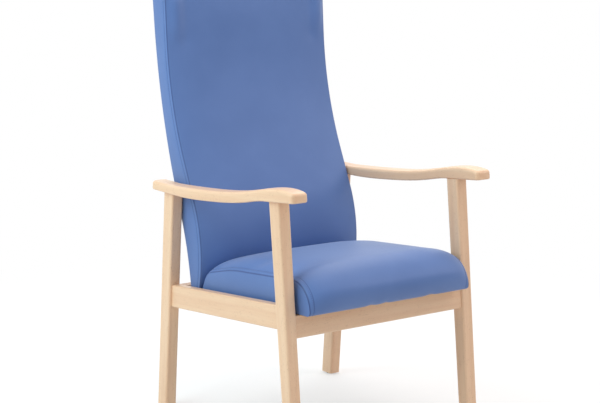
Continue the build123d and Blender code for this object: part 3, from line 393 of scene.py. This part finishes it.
def make_seat_cushion():
    """Seat cushion: one cover over nose, top and rear, two side panels and the underside."""
    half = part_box("seat_side_panel_right")[1].x
    line = seat_lines()
    rows = round(path_length(line) / PANEL_PITCH) + 1
    seam = evenly(line, rows)
    under = np.linspace(seam[0], seam[-1], rows)
    across = across_stations(half)
    cushion = PanelMesh()

    outward = outward_of(seam)
    passed = np.linspace(0, path_length(line), rows)
    ends = eased(np.minimum(passed, passed[-1] - passed), 0, SEAT_CROWN_RUN)
    crown = SEAT_FIRST_CROWN * ends[:, None] * (1 - np.abs(across / half) ** SEAT_CROWN_POWER)[None, :]
    grid = panel_grid(across, seam[:, None, :] + outward[:, None, :] * crown[:, :, None])
    beside = np.broadcast_to((half - np.abs(across))[None, :], grid.shape[:2])
    cushion.add(grid, beside, SEAT_COVER)

    shares = np.array(SIDE_ROWS)
    heights = np.linalg.norm(under - seam, axis=1)
    side_view = seam[:, None, :] + (under - seam)[:, None, :] * shares[None, :, None]
    for number, side in ((SEAT_LEFT, -1), (SEAT_RIGHT, 1)):
        cushion.add(panel_grid(side * half, side_view), heights[:, None] * shares[None, :], number)

    grid = panel_grid(across, under[:, None, :])
    inside = np.ones(grid.shape[:2])
    inside[[0, -1], :] = 0
    inside[:, [0, -1]] = 0
    grid[:, :, 2] += SEAT_UNDER_LIFT * inside
    cushion.add(grid, beside, SEAT_UNDER)
    piece = cushion.sew("seat_cushion")

    panel = read_layer(piece.data, "panel")
    seam_distance = read_layer(piece.data, "seam_distance")
    points = read_points(piece.data)
    on_seam = (seam_distance < MERGE) & (np.abs(np.abs(points[:, 0]) - half) < MERGE)
    below = np.interp(points[:, 1], under[:, 0], under[:, 1])
    held = on_seam | (panel == SEAT_UNDER) | (points[:, 2] - below < SEAT_UNDER_LIFT)
    swell(piece, held, (SEAT_SWELL, SEAT_SIDE_SWELL, SEAT_SIDE_SWELL, 0))
    fold_shade = pucker_hem(piece, seam[0])
    away = np.linalg.norm(read_points(piece.data)[:, :2] - DIMPLE_PLACE, axis=1)
    press_dent(piece, panel == SEAT_COVER, away / DIMPLE_REACH, DIMPLE_DEPTH)
    stitched = (panel == SEAT_COVER) & (np.abs(seam_distance - STITCH_INSET) < MERGE)
    sink_seams(piece, on_seam, stitched)
    paint_seam_shade(piece, np.maximum(STITCH_SHADE * stitched, fold_shade))
    smooth_cover(piece)
    return piece


def pucker_hem(piece, hem):
    """Lift the seat's front hem where the cover puckers between its staples; gives the painted shade of the
    folds.
    """
    points = read_points(piece.data)
    away = np.linalg.norm(points[:, 1:] - hem, axis=1)
    puckered = np.zeros(len(points))
    for across, width in HEM_PUCKERS:
        puckered += np.exp(-(((points[:, 0] - across) / width) ** 2))
    points[:, 2] += HEM_PUCKER_LIFT * puckered * np.exp(-((away / HEM_PUCKER_REACH) ** 2))
    write_points(piece.data, points)
    # painted shade in the pucker folds near the hem
    return puckered * (away < HEM_FOLD_SHADE)


def press_dent(piece, chosen, away, depth):
    """Press a shallow dent into a panel; away is 1 at the dent's reach."""
    push_out(piece, -(depth * np.exp(-(away**2)) * chosen))


def paint_seam_shade(piece, lines):
    """Keep how near the seams, stitched lines and folds are, as the mask of painted shade in the vinyl's
    finish.
    """
    near = np.exp(-((read_layer(piece.data, "seam_distance") / SEAM_SHADE) ** 2))
    near = np.maximum(near, lines)
    # the seam layer holds where the vinyl gets painted shade
    layer = piece.data.attributes.new("seam", "FLOAT", "POINT")
    layer.data.foreach_set("value", near.astype(np.float32))


# Back cushion


def back_lines():
    """The back's front line from the foot over the top, and its rear line, to the top's rear edge."""
    loop = panel_loop("back_side_panel_left")
    lowest = np.flatnonzero(loop[:, 1] < loop[:, 1].min() + MM)
    front_foot = int(min(lowest, key=lambda i: loop[i][0]))
    rear_foot = int(max(lowest, key=lambda i: loop[i][0]))
    top = int(np.argmax(loop.sum(axis=1)))
    front = path_between(loop, front_foot, top, lambda way: -way[:, 0].mean())
    rear = path_between(loop, rear_foot, top, lambda way: way[:, 0].mean())
    return front, rear


def back_rows():
    """Matching points up the back's front and rear, how far apart they are, and the way from the foot."""
    front_line, rear_line = back_lines()
    length = path_length(front_line)
    rows = round(length / PANEL_PITCH) + 1
    front, rear = evenly(front_line, rows), evenly(rear_line, rows)
    return front, rear, np.linalg.norm(rear - front, axis=1), np.linspace(0, length, rows)


def raise_ears(piece, chosen, half):
    """Pad the two side edges of the head part a little higher."""
    points = read_points(piece.data)
    across = np.abs(points[:, 0]) / half
    rise = eased(across, *EAR_ACROSS[:2]) * (1 - eased(across, *EAR_ACROSS[2:]))
    rise *= eased(points[:, 2], EAR_START, EAR_FULL) * (1 - eased(points[:, 2], *EAR_FADE)) * chosen
    push_out(piece, EAR_HEIGHT * rise)


def make_back_cushion():
    """Back cushion: a front panel that goes over the top, two side panels, the rear and the foot."""
    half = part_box("back_side_panel_right")[1].x
    front, rear, depths, passed = back_rows()
    rows = len(front)
    across = across_stations(half)
    beside = np.broadcast_to((half - np.abs(across))[None, :], (rows, len(across)))
    cushion = PanelMesh()
    outward = outward_of(front)
    ends = eased(passed, 0, BACK_CROWN_FOOT) * (1 - eased(outward[:, 1], *BACK_CROWN_TOP))
    crown = BACK_FIRST_CROWN * ends[:, None] * (1 - np.abs(across / half) ** BACK_CROWN_POWER)[None, :]
    for number, line, rise in ((BACK_FRONT, front, crown), (BACK_REAR, rear, np.zeros_like(crown))):
        side_view = line[:, None, :] + outward[:, None, :] * rise[:, :, None]
        cushion.add(panel_grid(across, side_view), beside, number)
    beside_front = np.array(SEAM_RINGS)[None, :] * np.minimum(1, depths / SIDE_NARROW)[:, None]
    behind = np.array(SIDE_ROWS)[None, 1:] * (depths - beside_front[:, -1])[:, None] + beside_front[:, -1:]
    inward = np.hstack((beside_front, behind))
    shares = inward / np.maximum(depths, MERGE)[:, None]
    shares[depths < MERGE] = 0
    side_view = front[:, None, :] + (rear - front)[:, None, :] * shares[:, :, None]
    nearest_seam = np.minimum(inward, depths[:, None] - inward)
    for number, side in ((BACK_LEFT, -1), (BACK_RIGHT, 1)):
        cushion.add(panel_grid(side * half, side_view), nearest_seam, number)
    foot = front[0] + (rear[0] - front[0]) * shares[0][:, None]
    cushion.add(panel_grid(across, foot[:, None, :]), beside[: len(foot)], BACK_FOOT)
    piece = cushion.sew("back_cushion")

    panel = read_layer(piece.data, "panel")
    seam_distance = read_layer(piece.data, "seam_distance")
    points = read_points(piece.data)
    on_side = (seam_distance < MERGE) & (np.abs(np.abs(points[:, 0]) - half) < MERGE)
    on_top = np.linalg.norm(points[:, 1:] - front[-1], axis=1) < MERGE
    on_seam = on_side | on_top
    held = on_seam | (panel == BACK_FOOT) | (points[:, 2] < front[0][1] + MERGE)
    swell(piece, held, (BACK_SWELL, BACK_REAR_SWELL, BACK_SIDE_SWELL, BACK_SIDE_SWELL, 0))
    raise_ears(piece, panel == BACK_FRONT, half)
    points = read_points(piece.data)
    away = np.hypot(np.abs(points[:, 0]) - EAR_DENT_PLACE[0] * half, points[:, 2] - EAR_DENT_PLACE[1])
    press_dent(piece, panel == BACK_FRONT, away / EAR_DENT_REACH, EAR_DENT_DEPTH)
    on_sides = (panel == BACK_LEFT) | (panel == BACK_RIGHT)
    stitched = on_sides & (np.abs(seam_distance - STITCH_INSET) < MERGE)
    sink_seams(piece, on_seam, stitched)
    paint_seam_shade(piece, STITCH_SHADE * stitched)
    smooth_cover(piece)
    return piece


# Stitching


def stitch_rows(cushion, lines, name):
    """Rows of single stitches that lie on a cushion along the given lines of points."""
    graph = bpy.context.evaluated_depsgraph_get()
    surface = BVHTree.FromObject(cushion, graph)
    rows = bmesh.new()
    for line in lines:
        count = round(path_length(line) / STITCH_PITCH)
        points = evenly(line, count)
        ways = np.gradient(points, axis=0)
        for point, way in zip(points, ways):
            place, normal = surface.find_nearest(Vector(point))[:2]
            along = Vector(way)
            along = (along - along.project(normal)).normalized()
            one_stitch(rows, place, along, normal)
    mesh = bpy.data.meshes.new(name)
    rows.to_mesh(mesh)
    rows.free()
    mesh.shade_smooth()
    return link(bpy.data.objects.new(name, mesh))


def one_stitch(rows, place, along, normal):
    """One stitch of thread: it rises out of the vinyl, lies on it and goes in again."""
    aside = normal.cross(along)
    rings = []
    for share, size, lift in STITCH_FORM:
        centre = place + along * (share * STITCH_LENGTH / 2) + normal * (lift * THREAD_RADIUS)
        ring = []
        for k in range(STITCH_SIDES):
            angle = 2 * math.pi * k / STITCH_SIDES
            spoke = aside * math.cos(angle) + normal * math.sin(angle)
            ring.append(rows.verts.new(centre + spoke * (size * THREAD_RADIUS)))
        rings.append(ring)
    for near, far in zip(rings, rings[1:]):
        for k in range(STITCH_SIDES):
            after = (k + 1) % STITCH_SIDES
            rows.faces.new((near[k], far[k], far[after], near[after]))
    rows.faces.new(rings[0])
    rows.faces.new(rings[-1][::-1])


def both_sides(line, across):
    """A line of the side view, as points in space on both sides of the chair."""
    return [np.hstack((np.full((len(line), 1), side * across), line)) for side in (-1, 1)]


def back_stitch_line():
    """The stitched line on the back's side panels, behind the front seam (y, z)."""
    front, rear, depths, _ = back_rows()
    wide = depths > SIDE_NARROW
    return front[wide] + ((rear - front) / np.maximum(depths, MERGE)[:, None] * STITCH_INSET)[wide]


# Finishes


def colour(red, green, blue):
    """A colour given in screen values from 0 to 255."""
    parts = [c / 255 for c in (red, green, blue)]
    return [c / 12.92 if c <= 0.04045 else ((c + 0.055) / 1.055) ** 2.4 for c in parts] + [1.0]


BEECH_PALE = colour(241, 205, 171)
BEECH_DARK = colour(229, 184, 148)
BEECH_FLECK = colour(168, 120, 86)
BEECH_LACQUER = 0.45
WORN_WOOD = colour(238, 212, 186)
WORN_WOOD_SHARE = 0.35
PLYWOOD_PALE = colour(205, 170, 124)
PLYWOOD_DARK = colour(180, 142, 98)
VINYL_BLUE = colour(91, 121, 178)
VINYL_BLUE_DEEP = colour(86, 116, 173)
# painted shade for the seams, stitched grooves and hem folds
VINYL_SEAM_SHADE = colour(50, 72, 124)
THREAD_BLUE = colour(84, 108, 160)
THREAD_BLUE_DEEP = colour(60, 80, 128)
ZINC_PALE = colour(176, 178, 182)
ZINC_DARK = colour(150, 152, 158)
ZINC_RUBBED = colour(206, 206, 208)
PLASTIC_DARK = colour(46, 43, 40)
PLASTIC_PALE = colour(60, 56, 52)
PLASTIC_SCUFFED = colour(104, 99, 93)
LINING_DARK = colour(26, 26, 28)
LINING_PALE = colour(50, 50, 53)

# How fine each detail is, in steps a metre; for wood, along its grain and across it
WOOD_DRIFT = (2.0, 14.0, 14.0)
WOOD_LAYERS = (1.6, 70.0, 26.0)
WOOD_STREAKS = (9.0, 420.0, 420.0)
WOOD_FLECKS = (150.0, 900.0, 900.0)
WOOD_FLECK_PLACES = (40.0, 120.0, 120.0)
VINYL_PEBBLES = 780.0
VINYL_CREASES = 260.0
VINYL_CLOUDS = 7.0
VINYL_SPECKLE = 900.0
THREAD_TWIST = 700.0
ZINC_BRUSHING = (900.0, 900.0, 90.0)
PLASTIC_SPOTS = 1400.0
LINING_FIBRES = (900.0, 500.0, 900.0)
LINING_DOTS = 520.0
WEAR_PATCHES = 55.0

# How far from an edge each finish is rubbed
WOOD_WEAR = 2.5 * MM
ZINC_WEAR = 0.6 * MM
PLASTIC_WEAR = 1.0 * MM

# Least and most roughness
WOOD_ROUGHNESS = (0.4, 0.52)
VINYL_ROUGHNESS = (0.43, 0.52)
THREAD_ROUGHNESS = (0.55, 0.7)
ZINC_ROUGHNESS = (0.28, 0.42)
PLASTIC_ROUGHNESS = (0.5, 0.65)
LINING_ROUGHNESS = (0.8, 0.95)

# Strength and depth of the fine relief
WOOD_RELIEF = (0.12, 0.4 * MM)
VINYL_RELIEF = (0.18, 0.25 * MM)
THREAD_RELIEF = (0.3, 0.1 * MM)
PLASTIC_RELIEF = (0.2, 0.1 * MM)
LINING_RELIEF = (0.4, 0.3 * MM)


class Nodes:
    """A node tree, with short calls to add nodes and join them."""

    def __init__(self, tree):
        self.tree = tree

    def feed(self, node, feeds):
        """Set a node's sockets, by name or number, to plain values or join them to other sockets."""
        for key, value in feeds.items():
            if isinstance(value, bpy.types.NodeSocket):
                self.tree.links.new(value, node.inputs[key])
            else:
                node.inputs[key].default_value = value

    def add(self, kind, feeds=None, **settings):
        """Add a node with its settings, and feed its sockets."""
        node = self.tree.nodes.new(kind)
        for key, value in settings.items():
            setattr(node, key, value)
        self.feed(node, feeds or {})
        return node

    def place(self):
        """Where a point lies on the chair."""
        return self.add("ShaderNodeTexCoord").outputs["Object"]

    def sum(self, operation, *values):
        """Arithmetic on numbers."""
        return self.add("ShaderNodeMath", dict(enumerate(values)), operation=operation).outputs[0]

    def spread(self, value, low, high, to_low=0.0, to_high=1.0, smooth=True):
        """Stretch a value from one range to another."""
        feeds = {"Value": value, 1: low, 2: high, 3: to_low, 4: to_high}
        kind = "SMOOTHSTEP" if smooth else "LINEAR"
        return self.add("ShaderNodeMapRange", feeds, interpolation_type=kind).outputs[0]

    def scaled(self, vector, factors):
        """A place stretched along its three axes."""
        return self.add("ShaderNodeVectorMath", {0: vector, 1: factors}, operation="MULTIPLY").outputs[0]

    def noise(self, vector, scale=1.0, detail=3.0, roughness=0.5):
        """Soft random values."""
        feeds = {"Vector": vector, "Scale": scale, "Detail": detail, "Roughness": roughness}
        return self.add("ShaderNodeTexNoise", feeds).outputs[0]

    def mixed(self, share, first, second):
        """Two colours mixed."""
        return self.add("ShaderNodeMix", {0: share, 6: first, 7: second}, data_type="RGBA").outputs[2]

    def bump(self, height, strength, depth):
        """Normals of a fine relief."""
        feeds = {"Height": height, "Strength": strength, "Distance": depth}
        return self.add("ShaderNodeBump", feeds).outputs[0]


def new_group(name, inputs, outputs):
    """A shader node group with named sockets: its tree, what it is given, and the node for its results."""
    tree = bpy.data.node_groups.new(name, "ShaderNodeTree")
    for label, kind in inputs:
        tree.interface.new_socket(label, in_out="INPUT", socket_type=kind)
    for label, kind in outputs:
        tree.interface.new_socket(label, in_out="OUTPUT", socket_type=kind)
    given = tree.nodes.new("NodeGroupInput").outputs
    return Nodes(tree), given, tree.nodes.new("NodeGroupOutput")


def timber_group():
    """Grain of beech: growth layers, long streaks and short dark flecks along the wood."""
    inside, given, result = new_group(
        "timber_grain",
        [("Place", "NodeSocketVector"), ("Pale", "NodeSocketColor"), ("Dark", "NodeSocketColor"),
         ("Fleck", "NodeSocketColor")],
        [("Color", "NodeSocketColor"), ("Roughness", "NodeSocketFloat"), ("Height", "NodeSocketFloat")],
    )
    place = given["Place"]
    drift = inside.noise(inside.scaled(place, WOOD_DRIFT), detail=2.0)
    layers = inside.noise(inside.scaled(place, WOOD_LAYERS), roughness=0.55)
    streaks = inside.noise(inside.scaled(place, WOOD_STREAKS), detail=4.0, roughness=0.6)
    cells = {"Vector": inside.scaled(place, WOOD_FLECKS), "Scale": 1.0, "Randomness": 1.0}
    flecks = inside.add("ShaderNodeTexVoronoi", cells).outputs["Distance"]
    fleck_places = inside.spread(inside.noise(inside.scaled(place, WOOD_FLECK_PLACES), detail=1.0), 0.5, 0.62)
    fleck = inside.sum("MULTIPLY", inside.spread(flecks, 0.34, 0.16), fleck_places)
    layer_tone = inside.spread(layers, 0.3, 0.72, 0.0, 0.6)
    tone = inside.sum("ADD", layer_tone, inside.spread(drift, 0.3, 0.7, 0.0, 0.4))
    body = inside.mixed(tone, given["Pale"], given["Dark"])
    body = inside.mixed(inside.spread(streaks, 0.42, 0.75, 0.0, 0.45), body, given["Dark"])
    streak_height = inside.sum("MULTIPLY", streaks, 0.6)
    inside.feed(result, {
        "Color": inside.mixed(inside.sum("MULTIPLY", fleck, 0.55), body, given["Fleck"]),
        "Roughness": inside.spread(streaks, 0.3, 0.75, *WOOD_ROUGHNESS),
        "Height": inside.sum("SUBTRACT", streak_height, inside.sum("MULTIPLY", fleck, 0.5)),
    })
    return inside.tree


def wear_group():
    """Where edges are rubbed: near an edge, and broken up."""
    inside, given, result = new_group(
        "edge_wear",
        [("Place", "NodeSocketVector"), ("Reach", "NodeSocketFloat")],
        [("Mask", "NodeSocketFloat")],
    )
    true_normal = inside.add("ShaderNodeNewGeometry").outputs["Normal"]
    rounded = inside.add("ShaderNodeBevel", {"Radius": given["Reach"]}, samples=4).outputs[0]
    normals = {0: true_normal, 1: rounded}
    facing = inside.add("ShaderNodeVectorMath", normals, operation="DOT_PRODUCT").outputs[1]
    patches = inside.noise(given["Place"], WEAR_PATCHES)
    edge = inside.spread(facing, 0.995, 0.93)
    inside.feed(result, {"Mask": inside.sum("MULTIPLY", edge, inside.spread(patches, 0.42, 0.62))})
    return inside.tree


def rubbed(tree, place, reach):
    """Mask of the rubbed edges in a finish."""
    return tree.add("ShaderNodeGroup", {"Place": place, "Reach": reach}, node_tree=edge_wear).outputs[0]


def new_finish(name, **constants):
    """A material with the Principled shader and its plain values set."""
    material = bpy.data.materials.new(name)
    material.use_nodes = True
    tree = Nodes(material.node_tree)
    shader = material.node_tree.nodes["Principled BSDF"]
    tree.feed(shader, {key.replace("_", " "): value for key, value in constants.items()})
    return material, tree, shader


def dress(piece, material):
    """Give a piece or a CAD node its finish."""
    piece.data.materials.clear()
    piece.data.materials.append(material)


def grain_way(node):
    """Direction in which a piece of wood is longest."""
    points = read_points(nodes[node].data)
    spread = np.linalg.eigh(np.cov((points - points.mean(axis=0)).T))
    return Vector(spread[1][:, -1])


def timber_finish(name, way, number, pale, dark, fleck, lacquer):
    """Wood whose grain runs along the given direction; the number picks another part of the plank."""
    material, tree, shader = new_finish(name, Coat_Weight=lacquer, Coat_Roughness=0.28, IOR=1.45)
    aside = way.orthogonal().normalized()
    turn = Matrix((way, aside, way.cross(aside))).to_euler()
    plank = [number * step for step in PLANK_STEPS]
    along = {"Vector": tree.place(), "Rotation": turn, "Location": plank}
    place = tree.add("ShaderNodeMapping", along).outputs[0]
    wood = {"Place": place, "Pale": pale, "Dark": dark, "Fleck": fleck}
    grain = tree.add("ShaderNodeGroup", wood, node_tree=timber).outputs
    worn = tree.sum("MULTIPLY", rubbed(tree, place, WOOD_WEAR), WORN_WOOD_SHARE)
    tree.feed(shader, {
        "Base Color": tree.mixed(worn, grain["Color"], WORN_WOOD),
        "Roughness": grain["Roughness"],
        "Normal": tree.bump(grain["Height"], *WOOD_RELIEF),
    })
    return material


def vinyl_finish():
    """Blue vinyl: fine pebbled grain, slight clouding, and painted shade in seams, stitched grooves and
    folds.
    """
    material, tree, shader = new_finish("blue_vinyl", IOR=1.43, Sheen_Weight=0.25, Sheen_Roughness=0.4)
    place = tree.place()
    cells = {"Vector": place, "Scale": VINYL_PEBBLES}
    pebbles = tree.add("ShaderNodeTexVoronoi", cells, feature="SMOOTH_F1").outputs["Distance"]
    creases = tree.noise(place, VINYL_CREASES, detail=4.0, roughness=0.6)
    clouds = tree.noise(place, VINYL_CLOUDS, roughness=0.55)
    speckle = tree.noise(place, VINYL_SPECKLE, detail=2.0)
    # mask of the painted shade in the seams, stitched grooves and hem folds
    seam = tree.add("ShaderNodeAttribute", attribute_name="seam").outputs["Fac"]
    body = tree.mixed(tree.spread(clouds, 0.3, 0.7), VINYL_BLUE, VINYL_BLUE_DEEP)
    body = tree.mixed(tree.spread(speckle, 0.5, 0.8, 0.0, 0.25), body, VINYL_BLUE_DEEP)
    height = tree.sum("ADD", tree.sum("MULTIPLY", pebbles, 0.7), tree.sum("MULTIPLY", creases, 0.4))
    tree.feed(shader, {
        "Base Color": tree.mixed(tree.spread(seam, 0.2, 0.95, 0.0, 0.9), body, VINYL_SEAM_SHADE),
        "Roughness": tree.spread(creases, 0.3, 0.7, *VINYL_ROUGHNESS),
        "Normal": tree.bump(height, *VINYL_RELIEF),
    })
    return material


def thread_finish():
    """Sewing thread: twisted, a little darker than the vinyl."""
    material, tree, shader = new_finish("blue_thread", IOR=1.45)
    strands = {"Vector": tree.place(), "Scale": THREAD_TWIST, "Distortion": 2.0}
    twist = tree.add("ShaderNodeTexWave", strands, bands_direction="DIAGONAL").outputs[1]
    tree.feed(shader, {
        "Base Color": tree.mixed(twist, THREAD_BLUE, THREAD_BLUE_DEEP),
        "Roughness": tree.spread(twist, 0.0, 1.0, *THREAD_ROUGHNESS),
        "Normal": tree.bump(twist, *THREAD_RELIEF),
    })
    return material


def steel_finish():
    """Zinc-plated steel with fine brushing and bright rubbed edges."""
    material, tree, shader = new_finish("zinc_steel", Metallic=1.0)
    place = tree.place()
    brushing = tree.noise(tree.scaled(place, ZINC_BRUSHING))
    body = tree.mixed(tree.spread(brushing, 0.3, 0.7), ZINC_PALE, ZINC_DARK)
    tree.feed(shader, {
        "Base Color": tree.mixed(rubbed(tree, place, ZINC_WEAR), body, ZINC_RUBBED),
        "Roughness": tree.spread(brushing, 0.3, 0.7, *ZINC_ROUGHNESS),
    })
    return material


def glide_finish():
    """Dark moulded plastic of the foot glides, with scuffed edges."""
    material, tree, shader = new_finish("dark_plastic", IOR=1.5)
    place = tree.place()
    spots = tree.noise(place, PLASTIC_SPOTS, detail=2.0)
    body = tree.mixed(tree.spread(spots, 0.35, 0.7), PLASTIC_DARK, PLASTIC_PALE)
    tree.feed(shader, {
        "Base Color": tree.mixed(rubbed(tree, place, PLASTIC_WEAR), body, PLASTIC_SCUFFED),
        "Roughness": tree.spread(spots, 0.3, 0.7, *PLASTIC_ROUGHNESS),
        "Normal": tree.bump(spots, *PLASTIC_RELIEF),
    })
    return material


def lining_finish():
    """Black non-woven lining: matted fibres with small pressed dots."""
    material, tree, shader = new_finish("black_lining", Sheen_Weight=0.1)
    place = tree.place()
    fibres = tree.noise(tree.scaled(place, LINING_FIBRES), detail=4.0, roughness=0.7)
    cells = {"Vector": place, "Scale": LINING_DOTS, "Randomness": 0.15}
    dots = tree.add("ShaderNodeTexVoronoi", cells).outputs[0]
    height = tree.sum("ADD", fibres, tree.spread(dots, 0.15, 0.35, 0.0, 0.8))
    tree.feed(shader, {
        "Base Color": tree.mixed(tree.spread(fibres, 0.35, 0.7), LINING_DARK, LINING_PALE),
        "Roughness": tree.spread(fibres, 0.3, 0.7, *LINING_ROUGHNESS),
        "Normal": tree.bump(height, *LINING_RELIEF),
    })
    return material


# Lining under the seat


def make_lining():
    """Thin black lining stretched under the seat board, slack between its staples."""
    low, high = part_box("seat_dust_cover")
    points = read_points(nodes["seat_dust_cover"].data)
    front = points[points[:, 1] < low.y + LINING_EDGE][:, 2].min()
    rear = points[points[:, 1] > high.y - LINING_EDGE][:, 2].min()
    columns = round((high.x - low.x) / PANEL_PITCH) + 1
    rows = round((high.y - low.y) / PANEL_PITCH) + 1
    share_x = np.linspace(0, 1, columns)[None, :]
    share_y = np.linspace(0, 1, rows)[:, None]
    grid = np.empty((rows, columns, 3))
    grid[:, :, 0] = low.x + (high.x - low.x) * share_x
    grid[:, :, 1] = low.y + (high.y - low.y) * share_y
    ends = np.sin(math.pi * share_x) * np.sin(math.pi * share_y)
    fading = np.exp(-LINING_RIPPLE_FADE * np.minimum(share_y, 1 - share_y))
    ripple = np.sin(share_x * LINING_RIPPLES * math.pi) * fading
    grid[:, :, 2] = front + (rear - front) * share_y - LINING_SAG * ends + LINING_RIPPLE * ripple * ends
    sheet = PanelMesh()
    sheet.add(grid, np.zeros(grid.shape[:2]))
    piece = sheet.sew("seat_lining")
    thick = piece.modifiers.new("thickness", "SOLIDIFY")
    thick.thickness = LINING_THICKNESS
    thick.offset = 0
    return piece, (high.x - low.x, math.hypot(high.y - low.y, rear - front))


# Floor, light and background


FLOOR_SIZE = 60.0
FLOOR_NEAR = 0.8  # distances from the middle between which the shaded floor turns white
FLOOR_FAR = 2.0
FLOOR_SHOWN = 0.5  # share of the shading that the camera sees on the floor
FLOOR_LIFT = 0.5
FLOOR_COLOUR = (0.72, 0.725, 0.722, 1)
SURROUND_LIGHT = 0.52
LAMP_AIM = (0.0, 0.0, 0.6)
LAMPS = {  # place, size, power and colour
    "left_light": ((-2.4, 0.35, 2.05), 2.4, 54.0, (0.76, 0.98, 1.0)),
    "right_light": ((2.6, -1.9, 2.4), 1.8, 22.0, (1.0, 0.89, 0.87)),
    "top_light": ((0.3, -0.6, 3.2), 2.5, 23.0, (1.0, 0.95, 0.94)),
    "rear_light": ((1.2, 1.7, 3.3), 3.2, 50.0, (1.0, 0.98, 0.97)),
}


def floor_finish():
    """Pale floor that shows the chair's shadow near it and is plain white further off."""
    material, tree, shader = new_finish("pale_floor", Base_Color=FLOOR_COLOUR, Roughness=0.7)
    seen = seen_directly(tree)
    shaded = tree.add("ShaderNodeBsdfDiffuse", {"Color": (FLOOR_SHOWN, FLOOR_SHOWN, FLOOR_SHOWN, 1)})
    lit = tree.add("ShaderNodeEmission", {"Strength": FLOOR_LIFT})
    shown = tree.add("ShaderNodeAddShader", {0: shaded.outputs[0], 1: lit.outputs[0]})
    near = tree.add("ShaderNodeMixShader", {0: seen, 1: shader.outputs[0], 2: shown.outputs[0]})
    white = tree.add("ShaderNodeEmission", {"Strength": 1.0})
    far = tree.add("ShaderNodeMixShader", {0: seen, 1: shader.outputs[0], 2: white.outputs[0]})
    distance = tree.add("ShaderNodeVectorMath", {0: tree.place()}, operation="LENGTH").outputs[1]
    fade = tree.spread(distance, FLOOR_NEAR, FLOOR_FAR)
    floor = tree.add("ShaderNodeMixShader", {0: fade, 1: near.outputs[0], 2: far.outputs[0]})
    tree.feed(material.node_tree.nodes["Material Output"], {"Surface": floor.outputs[0]})
    return material


def seen_directly(tree):
    """1 for rays that look at a thing directly, in a mirror or through glass."""
    path = tree.add("ShaderNodeLightPath").outputs
    either = tree.sum("MAXIMUM", path["Is Camera Ray"], path["Is Glossy Ray"])
    return tree.sum("MAXIMUM", either, path["Is Transmission Ray"])


def make_stage():
    """A plain pale floor, large soft lamps round the chair, and a white surround."""
    bpy.ops.mesh.primitive_plane_add(size=FLOOR_SIZE)
    floor = bpy.context.object
    floor.name = "floor"
    dress(floor, floor_finish())
    world = bpy.data.worlds.new("surround")
    world.use_nodes = True
    tree = Nodes(world.node_tree)
    seen = seen_directly(tree)
    strength = tree.spread(seen, 0.0, 1.0, SURROUND_LIGHT, 1.0, smooth=False)
    tree.feed(world.node_tree.nodes["Background"], {"Color": (1, 1, 1, 1), "Strength": strength})
    scene.world = world
    for name, (place, size, power, tint) in LAMPS.items():
        lamp = bpy.data.lights.new(name, "AREA")
        lamp.energy = power
        lamp.size = size
        lamp.color = tint
        light = link(bpy.data.objects.new(name, lamp))
        light.location = place
        light.rotation_mode = "QUATERNION"
        light.rotation_quaternion = (Vector(LAMP_AIM) - light.location).to_track_quat("-Z", "Y")
    scene.view_settings.view_transform = "Standard"


make_camera()
timber = timber_group()
edge_wear = wear_group()
vinyl = vinyl_finish()
thread = thread_finish()
slots = {row["node"]: row["material_slot"] for row in frame["record"]["subparts"]}

seat = part_of_chair(make_seat_cushion(), "vinyl", "seat_foam", "seat_cover", "seat_side_panel_left",
                     "seat_side_panel_right")
dress(seat, vinyl)
back = part_of_chair(make_back_cushion(), "vinyl", "back_foam", "back_cover", "back_rear_cover",
                     "back_side_panel_left", "back_side_panel_right", "back_webbing")
dress(back, vinyl)

seat_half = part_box("seat_side_panel_right")[1].x
seat_stitch_lines = both_sides(seat_lines(), seat_half - STITCH_INSET)
seat_stitching = part_of_chair(stitch_rows(seat, seat_stitch_lines, "seat_stitching"), "vinyl")
dress(seat_stitching, thread)
back_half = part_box("back_side_panel_right")[1].x
back_stitch_lines = both_sides(back_stitch_line(), back_half)
back_stitching = part_of_chair(stitch_rows(back, back_stitch_lines, "back_stitching"), "vinyl")
dress(back_stitching, thread)

lining, lining_size = make_lining()
part_of_chair(lining, "lining", "seat_dust_cover")
dress(lining, lining_finish())

woods = {  # pale, dark and fleck colours, and lacquer
    "beech": (BEECH_PALE, BEECH_DARK, BEECH_FLECK, BEECH_LACQUER),
    "plywood": (PLYWOOD_PALE, PLYWOOD_DARK, BEECH_FLECK, 0.0),
}
shared = {"steel": steel_finish(), "glide": glide_finish()}
for number, (name, node) in enumerate(sorted(nodes.items())):
    slot = slots[name]
    if slot in woods:
        dress(node, timber_finish(slot + "_" + name, grain_way(name), number, *woods[slot]))
    elif slot in shared:
        dress(node, shared[slot])
make_stage()
